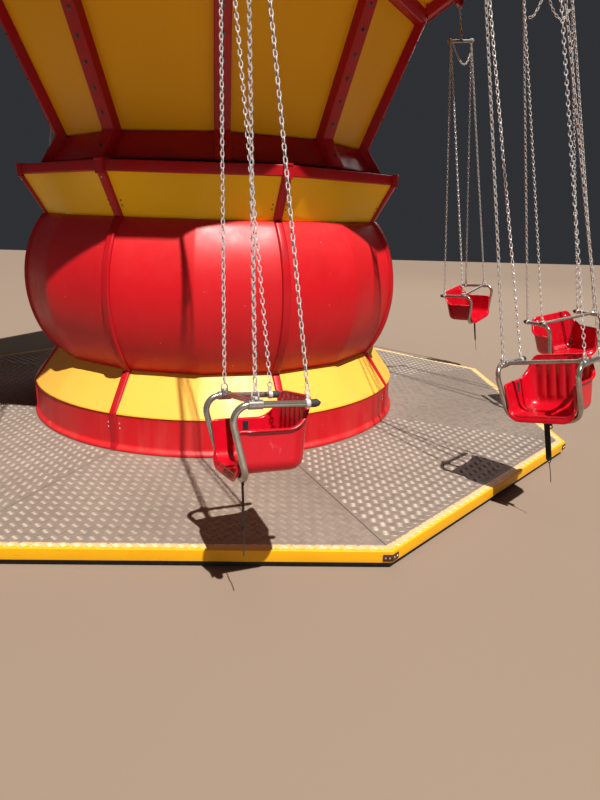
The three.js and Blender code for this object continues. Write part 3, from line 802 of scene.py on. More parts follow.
belly_heights = np.linspace(BELLY_LOW, BELLY_HIGH, BELLY_ROWS)
belly_line = np.stack([belly_radius(belly_heights), belly_heights], -1)
belly_line = np.concatenate([BELLY_FOOT_LIP, belly_line, BELLY_TOP_LIP])
belly = closed_tier(belly_line, facet_azimuths, facet_share)
make_piece("drum_belly_panels", belly, "base", "panel_red", panel_red, replaces=("drum_belly",))
print("belly", round(float(belly_line[:, 0].max()) * 2, 3), "m across its corners")

# %% [markdown]
# Above the belly eight yellow panels slope outwards to an eight-sided red rim. They are one tier
# with sixteen sides at its foot and eight at its top, like the belly that it stands on and the
# rim that it carries. The rim is a box section with rounded edges, and is made with the ribs.

# %% Upper flare and rim
FLARE_FOOT = (1.0515, 1.3015)
FLARE_HEAD = (1.169, 1.507)
FLARE_FOOT_LIP = ((1.00, 1.2983), (1.047, 1.2984))
FLARE_HEAD_LIP = ((1.171, 1.5117), (1.13, 1.5119))
FLARE_TOP = 1.512
RIM_R = 1.184
RIM_IN = 0.90
RIM_LOW, RIM_TOP = 1.5123, 1.567
octagon_share = polygon_share(facet_azimuths, DRUM_SIDES, RIB_FIRST)
slope = np.linspace(FLARE_FOOT, FLARE_HEAD, 9)
flare_line = np.concatenate([FLARE_FOOT_LIP, slope, FLARE_HEAD_LIP])
climb = np.clip((flare_line[:, 1:] - BELLY_TOP) / (FLARE_TOP - BELLY_TOP), 0, 1)
flare = closed_tier(flare_line, facet_azimuths, facet_share + (octagon_share - facet_share) * climb)
# The flare gets the paler copy of the yellow: painted light from the sunny deck below.
make_piece("drum_flare_panels", flare, "base", "panel_yellow", flare_yellow_lit, replaces=("drum_upper_flare",))

rim_profile = [(RIM_IN, RIM_LOW), (RIM_R, RIM_LOW), (RIM_R, RIM_TOP), (RIM_IN, RIM_TOP)]
rim_azimuths = tier_azimuths(DRUM_SIDES, RIB_FIRST, inside=6)
rim_share = polygon_share(rim_azimuths, DRUM_SIDES, RIB_FIRST)
rim = closed_tier(rounded_profile(rim_profile, 0.007), rim_azimuths, rim_share)
print("flare and rim meet at", FLARE_TOP, "m above the ground")

# %% [markdown]
# Eight ribs run from the platform up over every tier and end in a cap on the rim. A rib is one
# bar: its section is a strip 46 mm wide with rounded edges, and its path is the drum's outline.
# On the rim it stands out more, as a steel rib does that carries the rim.

# %% Drum ribs
RIB_HALF = 0.023
RIB_EDGE = 0.0105
RIB_LENGTH_STEP = 0.03
CLOSEST_POINTS = 0.0012
KICK_LINE = [(1.216, 0.0806), (1.214, 0.100), (1.204, 0.118), (1.203, 0.276), (1.2055, 0.286)]
CONE_HEAD = [(1.062, 0.489)]
FLARE_LINE = [(1.0545, 1.300), (1.174, 1.507)]
CAP_HEIGHTS = (1.500, 1.506, 1.560, 1.564)
CAP_R = RIM_R - 0.004
CAP_BLOCK_R, CAP_BLOCK_HEIGHT = 1.169, 1.566


def strip_section(half_width, relief, depth, edge):
    """A strip's section as pairs (across, out): flat face, rounded edges, and sides that go in."""
    angles = np.linspace(0, pi / 2, 5)
    right = np.stack([half_width - edge + edge * np.cos(angles), relief - edge + edge * np.sin(angles)], -1)
    left = right[::-1] * (-1, 1)
    return np.concatenate([[(-half_width, -depth), (half_width, -depth)], right, left])


def radial_strip(line, azimuth, section, outward):
    """A strip along a line of radius and height pairs, standing at one azimuth in degrees.

    Its section's second number is measured along each point's outward direction, and its first
    one to the right as seen from outside. The section runs clockwise there, so that faces point out.
    """
    a = radians(azimuth)
    radial, right = np.array([sin(a), -cos(a), 0]), np.array([cos(a), sin(a), 0])
    across, out = section[None, ::-1, :1], section[None, ::-1, 1:]
    spots = line[:, None] + outward[:, None] * out
    return closed_bar(spots[..., :1] * radial + spots[..., 1:] * np.array([0, 0, 1.0]) + across * right)


def smooth_line(points, radius, length=RIB_LENGTH_STEP):
    """A line with rounded corners and a point every few centimetres."""
    line = rounded_profile(points, radius, 5)
    walked = walked_along(line)
    wanted = np.linspace(0, walked[-1], int(walked[-1] / length) + 2)
    spots = np.unique(np.concatenate([walked, wanted]))
    spots = spots[np.concatenate([[True], np.diff(spots) > CLOSEST_POINTS])]
    return np.stack([np.interp(spots, walked, line[:, k]) for k in (0, 1)], -1)


def outward_of(line):
    """Directions square to a line of radius and height pairs that climbs, pointing away from the axis."""
    along = unit(np.gradient(line, axis=0))
    return np.stack([along[:, 1], -along[:, 0]], -1)


belly_points = [(belly_radius(z), z) for z in np.linspace(0.505, 1.288, 26)]
rib_line = smooth_line(KICK_LINE + CONE_HEAD + belly_points + FLARE_LINE, 0.014)
rib_section = strip_section(RIB_HALF, 0.011, 0.022, RIB_EDGE)
cap_line = np.array([(CAP_R, height) for height in CAP_HEIGHTS])
cap_section = strip_section(RIB_HALF, 0.015, 0.030, 0.004)
cap_block = rounded_block(0.06, 2 * RIB_HALF, 0.012, 0.004)
shapes = [rim]
for azimuth in DRUM_CORNERS:
    shapes.append(radial_strip(rib_line, azimuth, rib_section, outward_of(rib_line)))
    shapes.append(radial_strip(cap_line, azimuth, cap_section, np.tile((1.0, 0.0), (len(cap_line), 1))))
    turn = turn_about_z(radians(azimuth - 90))
    shapes.append(repeat(cap_block, [turn @ shift(CAP_BLOCK_R, 0, CAP_BLOCK_HEIGHT)]))
drum_frame = join_shapes(shapes)
make_piece("drum_rim_and_rib_frame", drum_frame, "base", "frame_red", frame_red, ("drum_rim_and_ribs",))
print("ribs follow a line of", len(rib_line), "points")

# %% [markdown]
# Small fixings show how the panels are held: pairs of bright screws beside each rib on the kick
# band, a bright rivet near the top of each rib on the flare, and pairs of dark screws beside it.
# Every screw is a copy of one turned head.

# %% Drum fixings
SCREW_PROFILE = ((0.0045, -0.003), (0.0045, 0.0005), (0.0036, 0.0018), (0.0015, 0.0024))
KICK_SCREW_R, KICK_SCREW_ANGLE, KICK_SCREW_HEIGHTS = 1.2045, 1.75, (0.206, 0.232)
FLARE_SCREW_ANGLE, FLARE_SCREW_HEIGHTS = 2.0, (1.357, 1.380)
RIVET_R, RIVET_HEIGHT = 1.1745, 1.484
# The flare's corner line, how fast its radius grows, and its flat face's share of that radius.
FLARE_CORNER = ((1.0515, 1.302), (1.170, 1.508))
FLARE_LEAN = 0.575
FACE_SHARE = 0.9915


def fixings(head, spots):
    """Copies of a head, one for each (radius, azimuth, height, rise) spot; rise tilts it upwards."""
    places = [round_place(radius, azimuth, height) for radius, azimuth, height, _ in spots]
    normals = [outward_at(azimuth, rise) for _, azimuth, _, rise in spots]
    return repeat(head, aims(places, normals))


screw_head = turned_shape(SCREW_PROFILE, 10)
flare_out = outward_of(np.array(FLARE_CORNER))[0]
flare_rise = flare_out[1] / flare_out[0]
bright, dark = [], []
for azimuth in DRUM_CORNERS:
    for side in (-1, 1):
        bright += [(KICK_SCREW_R, azimuth + side * KICK_SCREW_ANGLE, z, 0.0) for z in KICK_SCREW_HEIGHTS]
        for z in FLARE_SCREW_HEIGHTS:
            reach = (FLARE_CORNER[0][0] + (z - FLARE_CORNER[0][1]) * FLARE_LEAN) * FACE_SHARE
            dark.append((reach, azimuth + side * FLARE_SCREW_ANGLE, z, flare_rise))
    bright.append((RIVET_R, azimuth, RIVET_HEIGHT, flare_rise))
make_piece("drum_screws", fixings(screw_head, bright), "base", "steel_tube", bright_screw)
make_piece("drum_dark_screws", fixings(screw_head, dark), "base", "dark_steel", dark_bolt)
print(len(bright), "bright and", len(dark), "dark screws")

# %% [markdown]
# The platform's deck is eight plates that meet in thin dark seams from the drum out to the
# corners. Each plate is a shallow prism between two seams, so the seam is a real gap.

# %% Deck plates
PLATFORM_R = 2.321
EDGE_WIDTH = 0.050
SEAM_HALF = 0.0015
HALF_STEP = pi / DRUM_SIDES
EDGE_DISTANCE = PLATFORM_R * cos(HALF_STEP)
DECK_DISTANCE = EDGE_DISTANCE - EDGE_WIDTH
DECK_NEAR = 1.12
# How far the plate's border is drawn in, and at what height.
DECK_LEVELS = ((0.0, 0.0288), (0.0, 0.0792), (0.0008, 0.0800))


def sector_place(number, distance, across, height):
    """A point of a platform sector from its distance along the sector's middle and its offset across."""
    a = 2 * pi / DRUM_SIDES * number
    x = distance * sin(a) + across * cos(a)
    y = -distance * cos(a) + across * sin(a)
    return np.stack(np.broadcast_arrays(x, y, height), -1)


def deck_plate(number):
    """A four-cornered plate whose top edge is drawn in by just under a millimetre."""
    rings = []
    for inset, height in DECK_LEVELS:
        near, far = DECK_NEAR, DECK_DISTANCE - 0.0004 - inset
        half = [d * tan(HALF_STEP) - (SEAM_HALF + inset) / cos(HALF_STEP) for d in (near, far)]
        distances = np.array([far, far, near, near])
        across = np.array([-half[1], half[1], half[0], -half[0]])
        rings.append(sector_place(number, distances, across, height))
    return closed_bar(rings)


deck = join_shapes([deck_plate(k) for k in range(DRUM_SIDES)])
make_piece("deck_plates", deck, "base", "tread_plate", tread_plate, replaces=("platform_deck",), sharp=25)
print("a deck plate is", round(DECK_DISTANCE - DECK_NEAR, 3), "m deep")

# %% [markdown]
# Tread plate has raised bars in groups of five, and each group lies square to its neighbours. A
# bar is a low four-sided pyramid on a long diamond, only four triangles, because there are tens
# of thousands of them. All bar middles are worked out as arrays, and those that would cross a
# seam, the drum or the painted edge are left out.

# %% Tread bars
CELL = 0.036
BARS_IN_CELL = 5
BAR_LENGTH = 0.031
BAR_WIDTH = 0.0060
BAR_HEIGHT = 0.0022
BAR_SUNK = 0.0002
GRID_REACH = 3.4
SEAM_CLEAR = 0.004
DRUM_CLEAR = 1.2300


def bar_middles(low, high):
    """Middles and directions of all bars of one sector between two distances from the axis."""
    reach = int(GRID_REACH / CELL)
    cells = np.arange(-reach, reach)
    i, j = [n.reshape(-1, 1) for n in np.meshgrid(cells, cells)]
    step = (np.arange(BARS_IN_CELL) - (BARS_IN_CELL - 1) / 2) * CELL / BARS_IN_CELL
    lengthwise = (i + j) % 2 == 0
    u = (i + 0.5) * CELL + np.where(lengthwise, 0, step)
    v = (j + 0.5) * CELL + np.where(lengthwise, step, 0)
    du = np.where(lengthwise, 1.0, 0.0) + 0 * step
    dv = 1 - du
    s = sqrt(0.5)
    distance, across = s * (u + v), s * (v - u)
    along_distance, along_across = s * (du + dv), s * (dv - du)
    half = BAR_LENGTH / 2
    keep = np.ones(u.shape, bool)
    for sign in (-1, 1):
        d, c = distance + sign * half * along_distance, across + sign * half * along_across
        keep &= (d > low) & (d < high)
        keep &= np.abs(c) < d * tan(HALF_STEP) - SEAM_CLEAR / cos(HALF_STEP)
        keep &= np.hypot(d, c) > DRUM_CLEAR
    return [n[keep] for n in (distance, across, along_distance, along_across)]


def tread_bars(number, low, high):
    """Diamonds with a raised middle: four corners sunk a little into the plate, and one above it."""
    distance, across, dd, dc = bar_middles(low, high)
    half_l, half_w = BAR_LENGTH / 2, BAR_WIDTH / 2
    ends = [(half_l, 0), (0, half_w), (-half_l, 0), (0, -half_w), (0, 0)]
    d = np.stack([distance + a * dd - b * dc for a, b in ends], -1)
    c = np.stack([across + a * dc + b * dd for a, b in ends], -1)
    heights = np.array([PLATFORM_TOP - BAR_SUNK] * 4 + [PLATFORM_TOP + BAR_HEIGHT])
    corners = np.array([(0, 1, 4), (1, 2, 4), (2, 3, 4), (3, 0, 4)])
    faces = (np.arange(len(distance))[:, None, None] * len(ends) + corners).reshape(-1, 3)
    return sector_place(number, d, c, np.broadcast_to(heights, d.shape)).reshape(-1, 3), [faces]


def ring_of_bars(low, high):
    """The bars of all eight sectors between two distances."""
    return join_shapes([tread_bars(k, low, high) for k in range(DRUM_SIDES)])


bars = ring_of_bars(1.0, DECK_DISTANCE - 0.002)
make_piece("tread_bars", bars, "base", "tread_plate", trodden_bar, sharp=5)
print("tread bars:", len(bars[0]) // 5)

# %% [markdown]
# The outer 50 mm of the deck and its upright face are painted yellow. Feet have worn the top to
# pale primer with ragged borders, most of all on the bars. The strip is one hollow tier, and each
# of its points carries a number, its reach, that tells the paint how far in from the edge it is.

# %% Platform edge
EDGE_SHADES = (0.86, 0.43, 0.004, 1), (0.80, 0.37, 0.004, 1)
EDGE_HOLLOW_SHADE = (0.42, 0.19, 0.004, 1)
PRIMER = (0.58, 0.43, 0.25, 1), (0.56, 0.35, 0.11, 1)
BARE_PLATE = (0.27, 0.21, 0.165, 1)
EDGE_SPECKS = (0.10, 0.07, 0.04, 1)
HATCH_PITCH = 0.0125
EDGE_LOW, EDGE_UNDER = 0.0285, 0.0500
EDGE_BACK = PLATFORM_R - 0.02
EDGE_IN = PLATFORM_R - EDGE_WIDTH / cos(HALF_STEP)


def crossed_waves(tree, place):
    """Two sets of fine waves that lean opposite ways; the higher of the two counts."""
    level = maths(tree, "ADD", part_along(tree, place, "X"), part_along(tree, place, "Y"))
    waves = []
    for lean in (-1.0, 1.0):
        slope = maths(tree, "MULTIPLY_ADD", part_along(tree, place, "Z"), lean, level)
        waves.append(maths(tree, "SINE", maths(tree, "MULTIPLY", slope, 2 * pi / HATCH_PITCH)))
    return maths(tree, "MAXIMUM", *waves)


def edge_paint():
    """Strong yellow on the face; on top it wears to pale primer and bare plate towards the deck.

    The piece's own "reach" runs from 0 at the outer edge to 1 where the deck starts. Noise is
    added to it before each limit, so the worn areas have ragged borders. Fine crossing waves
    stand for the plate's pattern under the paint; they bump it, and the darker colour along them
    is painted shade.
    """
    material, tree, shader, place = start_material("edge_yellow", 0.45, gloss=0.3)
    reach = add_node(tree, "Attribute", attribute_name="reach", attribute_type="GEOMETRY").outputs["Fac"]
    ragged = pattern(tree, place, 75.0, 0.28, 0.72, detail=8.0)
    rough_reach = maths(tree, "MULTIPLY_ADD", ragged, 0.6, reach)
    worn = ramp(tree, rough_reach, 0.57, 0.80)
    bare = ramp(tree, rough_reach, 1.15, 1.27)
    shade = blend_colour(tree, pattern(tree, place, 5.0, 0.3, 0.75), *EDGE_SHADES)
    crossed = crossed_waves(tree, place)
    # Painted shade: the face darkens along the crossed waves of the pattern.
    face = blend_colour(tree, ramp(tree, crossed, 0.55, 1.0, 0.55), shade, EDGE_HOLLOW_SHADE)
    primer = blend_colour(tree, pattern(tree, place, 160.0, 0.35, 0.65), *PRIMER)
    plate = blend_colour(tree, bare, blend_colour(tree, worn, face, primer), BARE_PLATE)
    specks = pattern(tree, place, 150.0, 0.70, 0.74, detail=3.0)
    colour = blend_colour(tree, specks, plate, EDGE_SPECKS)
    bumps = [(worn, 0.4, -0.0004), (crossed, 0.15, 0.0006)]
    finish_shader(tree, shader, colour, blend_value(tree, ragged, 0.36, 0.56), bumps)
    return material


edge_yellow = edge_paint()
edge_profile = [(EDGE_BACK, EDGE_LOW), (PLATFORM_R, EDGE_LOW), (PLATFORM_R, PLATFORM_TOP)]
edge_profile += [(EDGE_IN, PLATFORM_TOP), (EDGE_IN, EDGE_UNDER), (EDGE_BACK, EDGE_UNDER)]
edge_line = rounded_profile(edge_profile, 0.0035)
edge_azimuths = tier_azimuths(DRUM_SIDES, RIB_FIRST, inside=8, edge=0.0012)
edge = hollow_tier(edge_line, edge_azimuths, polygon_share(edge_azimuths, DRUM_SIDES, RIB_FIRST))
edge_strip = make_piece("platform_edge_strip", edge, "base", "edge_yellow", edge_yellow, ("platform_edge",))
inward = (PLATFORM_R - edge_line[:, 0]) / (PLATFORM_R - EDGE_IN)
on_top = edge_line[:, 1] > PLATFORM_TOP - 0.0005
edge_reach = np.repeat(np.where(on_top, inward, 0.0), len(edge_azimuths))
reach = edge_strip.data.attributes.new("reach", "FLOAT", "POINT")
reach.data.foreach_set("value", edge_reach.astype(np.float32))
edge_bars = ring_of_bars(DECK_DISTANCE + 0.001, EDGE_DISTANCE - 0.002)
make_piece("edge_bars", edge_bars, "base", "edge_yellow", worn_yellow, sharp=5)
print("edge bars:", len(edge_bars[0]) // 5)

# %% [markdown]
# At each corner of the platform a dark bent bracket with two screws a side holds the edge strips
# together. Its section is carried along three stations: a side, the corner, the other side.

# %% Corner brackets
BRACKET_ARM = 0.038
BRACKET_LOW, BRACKET_HIGH = 0.037, 0.066
# Pairs: how far out of the edge's face, and the height.
BRACKET_SECTION = (
    (-0.004, BRACKET_HIGH),
    (0.0025, BRACKET_HIGH),
    (0.0032, BRACKET_HIGH - 0.001),
    (0.0032, BRACKET_LOW + 0.001),
    (0.0025, BRACKET_LOW),
    (-0.004, BRACKET_LOW),
)
BRACKET_SCREWS = (0.011, 0.028)
BRACKET_SCREW_HEIGHT = 0.0515


def right_at(degrees_round):
    """The level direction to the right at an azimuth, as seen from outside."""
    x, y, _ = outward_at(degrees_round)
    return np.array([-y, x, 0])


def corner_bracket(corner):
    """A plate bent round one corner: a section carried along three stations of a bent path."""
    stations = []
    for turn in (-1, 0, 1):
        side = corner + turn * RIB_STEP / 2
        middle, normal = round_place(EDGE_DISTANCE, side, 0.0), outward_at(side)
        reach = -turn * (EDGE_DISTANCE * tan(HALF_STEP) - BRACKET_ARM)
        if turn == 0:
            middle, normal = round_place(PLATFORM_R, corner, 0.0), normal / cos(HALF_STEP)
        spot = middle + right_at(side) * reach
        stations.append([spot + normal * out + (0, 0, z) for out, z in BRACKET_SECTION])
    return closed_bar(stations)


brackets = join_shapes([corner_bracket(corner) for corner in DRUM_CORNERS])
make_piece("corner_brackets", brackets, "base", "dark_steel", rusty_dark)
places, normals = [], []
for corner in DRUM_CORNERS:
    for turn in (1, -1):
        side = corner - turn * RIB_STEP / 2
        middle = round_place(EDGE_DISTANCE + 0.003, side, BRACKET_SCREW_HEIGHT)
        for back in BRACKET_SCREWS:
            reach = turn * (EDGE_DISTANCE * tan(HALF_STEP) - back)
            places.append(middle + right_at(side) * reach)
            normals.append(outward_at(side))
make_piece("bracket_screws", repeat(screw_head, aims(places, normals)), "base", "steel_tube", bright_screw)
print("bracket screws:", len(places))

# %% [markdown]
# The turning top stands on a greased bearing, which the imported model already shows, so it only
# gets a finish, and so does the black plinth under the platform. Above the bearing come a
# ten-sided neck that narrows upwards, ten steel ribs 80 mm wide, and a ring beam that joins
# them. Neck, ribs and beam are one painted steel frame.

# %% Neck, ribs and ring beam
TOP_SIDES = 10
TOP_STEP = 360 / TOP_SIDES
TOP_PHASE = 7.4
TOP_CORNERS = [TOP_PHASE + TOP_STEP * k for k in range(TOP_SIDES)]
TOP_RIB_HALF = 0.040
RING_R, RING_IN = 1.276, 1.150
RING_LOW, RING_TOP = 2.4045, 2.478
RING_FOOT_R, RING_START, RING_END = 1.264, 2.420, 2.440
CANOPY_R = 1.952
ARM_FOOT = (1.272, 2.437)
ARM_SLOPE = 0.72
NECK_PROFILE = (
    (0.85, 1.5853),
    (1.014, 1.5853),
    (1.012, 1.596),
    (0.928, 1.722),
    (0.92, 1.7252),
    (0.85, 1.7252),
)
TOP_RIB_LINE = ((1.062, 1.5858), (1.060, 1.592), (0.975, 1.725), (1.262, 2.412), (1.252, 2.446))


def arm_low(radius):
    """Height of the underside of the canopy's arms at a radius: a straight slope upwards."""
    return ARM_FOOT[1] + ARM_SLOPE * (radius - ARM_FOOT[0])


def give_finish(node, material):
    """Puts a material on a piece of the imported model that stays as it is."""
    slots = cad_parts[node].data.materials
    slots.clear()
    slots.append(material)


def top_strips(line, section, outward):
    """The same strip at each of the top's ten corners."""
    return [radial_strip(line, corner, section, outward) for corner in TOP_CORNERS]


give_finish("turntable_ring", dark_bolt)
give_finish("platform_plinth", black_rubber)

top_azimuths = tier_azimuths(TOP_SIDES, TOP_PHASE, inside=4)
top_share = polygon_share(top_azimuths, TOP_SIDES, TOP_PHASE)
ring_profile = [(RING_IN, RING_START), (RING_IN, RING_LOW), (RING_FOOT_R, RING_LOW)]
ring_profile += [(RING_R, arm_low(RING_R)), (RING_R, RING_TOP), (RING_IN, RING_TOP), (RING_IN, RING_END)]
neck = closed_tier(rounded_profile(NECK_PROFILE, 0.006), top_azimuths, top_share)
ring = hollow_tier(rounded_profile(ring_profile, 0.006), top_azimuths, top_share)
top_rib_line = smooth_line(TOP_RIB_LINE, 0.012, 0.06)
top_rib_section = strip_section(TOP_RIB_HALF, 0.0, 0.062, 0.005)
top_frame = join_shapes([neck, ring] + top_strips(top_rib_line, top_rib_section, outward_of(top_rib_line)))
make_piece("top_neck_rib_frame", top_frame, "top", "frame_red", frame_red, replaces=("top_neck_and_ribs",))
print("top frame:", len(top_frame[0]), "points")

# %% [markdown]
# Each of the top's ribs has one bolt on the neck and six above the waist, about every 100 mm. A
# bolt is a six-sided head on a round washer, and every one is a copy of the same small shape.

# %% Rib bolts
BOLT_PROFILE = ((0.0075, -0.004), (0.0075, 0.0040), (0.0066, 0.0052), (0.002, 0.0054))
WASHER_PROFILE = ((0.0115, -0.003), (0.0115, 0.0009), (0.0105, 0.0014), (0.004, 0.0014))
BOLT_START, BOLT_STEP, BOLTS_ON_FLARE = 1.797, 0.1035, 6
# The rib's line at its foot and above the waist: a point on it, and how fast its radius grows.
RIB_FOOT, RIB_FOOT_LEAN = (1.060, 1.592), -0.639
NECK_BOLT_HEIGHT, NECK_BOLT_RISE = 1.645, 0.64
RIB_WAIST, RIB_LEAN = (0.975, 1.725), 0.4178

bolt = join_shapes([turned_shape(BOLT_PROFILE, 6), turned_shape(WASHER_PROFILE, 12)])
neck_reach = RIB_FOOT[0] + RIB_FOOT_LEAN * (NECK_BOLT_HEIGHT - RIB_FOOT[1])
spots = []
for azimuth in TOP_CORNERS:
    spots.append((neck_reach, azimuth, NECK_BOLT_HEIGHT, NECK_BOLT_RISE))
    for k in range(BOLTS_ON_FLARE):
        height = BOLT_START + k * BOLT_STEP
        spots.append((RIB_WAIST[0] + (height - RIB_WAIST[1]) * RIB_LEAN, azimuth, height, -RIB_LEAN))
make_piece("top_rib_bolts", fixings(bolt, spots), "top", "dark_steel", dark_bolt)
print("rib bolts:", len(spots))

# %% [markdown]
# A flat panel is a shallow slab between two corner lines of the top's ten-sided form, with its
# edges rolled over. With other radii and heights the same slab makes the flare, the soffit, the
# boards of the fascia and the roof.

# %% Sloped panels
PANEL_ROLL = 0.009
PANEL_ROWS, PANEL_HALF_COLUMNS = 12, 9


def sloped_panel(low, high, corner, margin, thickness, swell):
    """One slab from a polygon corner to the next: straight across and up, rolled over at its edges.

    low and high are (corner radius, height) of its foot and top. A point's offset falls off in
    the last few millimetres before an edge like a quarter circle, and swells a little inside.
    """
    left = radians(corner)
    right = left + 2 * pi / TOP_SIDES
    ends = (left, right)
    corners = np.array([[(r * sin(a), -r * cos(a), z) for a in ends] for r, z in (low, high)])
    widths = np.linalg.norm(corners[:, 1] - corners[:, 0], axis=1)
    along = unit(corners[0, 1] - corners[0, 0])
    foot, top = corners.mean(1)
    height = np.linalg.norm(top - foot)
    climb = (top - foot) / height
    normal = np.cross(along, climb)
    near = PANEL_ROLL * (1 - np.cos(np.linspace(0, pi / 2, 4)))
    inner = np.linspace(PANEL_ROLL, height - PANEL_ROLL, PANEL_ROWS)[1:-1]
    v = np.concatenate([near, inner, height - near[::-1]])
    half = 0.5 * (widths[0] + (widths[1] - widths[0]) * v / height) - margin
    s = np.concatenate([near, np.linspace(PANEL_ROLL, 0.5, PANEL_HALF_COLUMNS)[1:]])
    share = np.concatenate([s, 1 - s[-2::-1]]) * 2 - 1
    edge = half[:, None] * (1 - np.abs(share)[None, :])
    edge = np.minimum(edge, np.minimum(v, height - v)[:, None])
    roll = np.clip(1 - edge / PANEL_ROLL, 0, 1)
    offset = -PANEL_ROLL * (1 - np.sqrt(1 - roll**2)) + swell * (1 - share[None, :] ** 2)
    place = foot + share[None, :, None] * half[:, None, None] * along + v[:, None, None] * climb
    return slab(place + offset[..., None] * normal, place - thickness * normal)


def panel_ring(low, high, margin, thickness=0.012, swell=0.002):
    """The slabs of one tier, one for each side of the top."""
    return join_shapes([sloped_panel(low, high, corner, margin, thickness, swell) for corner in TOP_CORNERS])


print("ten slabs have", len(panel_ring((1.0, 0.0), (1.2, 1.0), 0.03)[0]), "points")

# %% [markdown]
# Between the ribs sit ten flat yellow panels that lean outwards. Each stops just before the rib,
# which shows as a thin line of light beside it, as on the real one. The soffit panels between
# the canopy's arms are made the same way. Behind each row of slabs a plain tier closes the form.

# %% Flare panels and soffit
PANEL_MARGIN = 0.030
FLARE_PANEL_FOOT, FLARE_PANEL_TOP = (0.929, 1.727), (1.216, 2.403)
FLARE_CORE = ((0.80, 1.7256), (0.905, 1.7257), (1.190, 2.4035), (1.10, 2.4037))
ARM_DEPTH = 0.062
SOFFIT_TOP = arm_low(CANOPY_R) + ARM_DEPTH + 0.006
SOFFIT_CORE = (
    (1.20, 2.4785),
    (RING_R - 0.006, 2.4787),
    (RING_R - 0.002, 2.512),
    (CANOPY_R - 0.004, SOFFIT_TOP - 0.0004),
    (1.5, SOFFIT_TOP),
)

flare_panels = panel_ring(FLARE_PANEL_FOOT, FLARE_PANEL_TOP, PANEL_MARGIN)
flare_body = join_shapes([flare_panels, closed_tier(FLARE_CORE, top_azimuths, top_share)])
make_piece("top_yellow_panels", flare_body, "top", "panel_yellow", panel_yellow, ("top_flare_panels",))

soffit_low = (RING_R + 0.004, arm_low(RING_R) + ARM_DEPTH)
soffit_high = (CANOPY_R - 0.004, arm_low(CANOPY_R) + ARM_DEPTH)
soffit_panels = panel_ring(soffit_low, soffit_high, PANEL_MARGIN)
soffit = join_shapes([soffit_panels, closed_tier(SOFFIT_CORE, top_azimuths, top_share)])
make_piece("canopy_soffit_panels", soffit, "top", "panel_yellow", panel_yellow, replaces=("canopy_soffit",))
print("soffit runs out to", CANOPY_R, "m")

# %% [markdown]
# Ten box-section arms carry the canopy and the chairs. Each ends in a rim beam, and under its
# end sits a clevis: two cheeks with rounded ends and a pin with a head, where a chair hangs.

# %% Canopy arms and clevises
PIVOT_R = 1.870
PIVOT_Z = 2.830
ARM_END_R = CANOPY_R - 0.016
BEAM_IN = CANOPY_R - 0.090
CHEEK_END = 0.024
CHEEK_TOP = ((0.032, 0.062), (-0.032, 0.018))
# How far from the cheek's middle plane, and how large the outline is there.
CHEEK_LEVELS = ((-0.005, 0.94), (-0.004, 1.0), (0.004, 1.0), (0.005, 0.94))
CHEEK_GAP = 0.015


def pin_place(number):
    """The 4 x 4 array that puts a shape at arm number's pin, with its own x axis outwards."""
    azimuth = radians(TOP_CORNERS[number])
    at_pin = shift(PIVOT_R * sin(azimuth), -PIVOT_R * cos(azimuth), PIVOT_Z)
    return at_pin @ turn_about_z(azimuth - pi / 2)


def cheek():
    """One side plate of a clevis in the arm's own plane: two sloping sides and a round end."""
    angles = np.linspace(0, -pi, 9)[::-1]
    end = CHEEK_END * np.stack([np.cos(angles), np.sin(angles)], -1)
    x, z = np.concatenate([end, CHEEK_TOP]).T
    rings = [np.stack([x * size, np.full(len(x), y), z * size], -1) for y, size in CHEEK_LEVELS]
    return closed_bar(np.array(rings)[:, ::-1])


def pin_with_nut():
    """The pin through both cheeks, and its head and nut."""
    pin = round_bar([(0, -0.024, 0), (0, 0.024, 0)], 0.0078, 14)
    head = round_bar([(0, -0.0245, 0), (0, -0.0205, 0)], 0.013, 6)
    nut = round_bar([(0, 0.0205, 0), (0, 0.0265, 0)], 0.013, 6)
    return join_shapes([pin, head, nut])


def beam_profile():
    """The rim beam's section: its floor and its top follow the slope of the arms."""
    inner, outer = arm_low(BEAM_IN), arm_low(CANOPY_R)
    outside = [(CANOPY_R, outer), (CANOPY_R, outer + ARM_DEPTH - 0.0006)]
    inside = [(BEAM_IN, inner + ARM_DEPTH - 0.0006), (BEAM_IN, inner + 0.034)]
    return [(BEAM_IN, inner + 0.03), (BEAM_IN, inner)] + outside + inside


arm_line = [(r, arm_low(r)) for r in (RING_R + 0.0004, ARM_END_R)]
arm_line = smooth_line(arm_line, 0.01, 0.1)
arm_section = strip_section(TOP_RIB_HALF, 0.0, ARM_DEPTH - 0.0006, 0.005)
beam = hollow_tier(rounded_profile(beam_profile(), 0.005), top_azimuths, top_share)
cheeks = join_shapes([repeat(cheek(), [shift(0, y, 0)]) for y in (-CHEEK_GAP, CHEEK_GAP)])
at_arms = [pin_place(k) for k in range(TOP_SIDES)]
arms = join_shapes([beam, repeat(cheeks, at_arms)] + top_strips(arm_line, arm_section, outward_of(arm_line)))
make_piece("canopy_arm_frame", arms, "top", "frame_red", frame_red, replaces=("canopy_arms",))
make_piece("clevis_pins", repeat(pin_with_nut(), at_arms), "top", "dark_steel", dark_bolt)
print("arms reach", ARM_END_R, "m and the pins stand", PIVOT_Z, "m up")

# %% [markdown]
# The photograph doesn't show the canopy's upper part, so it follows the usual form of such rides:
# a fascia of ten boards with a raised yellow panel and a rounded frame each, a low ten-sided roof
# with a cover strip on every hip, and a red cap on top.

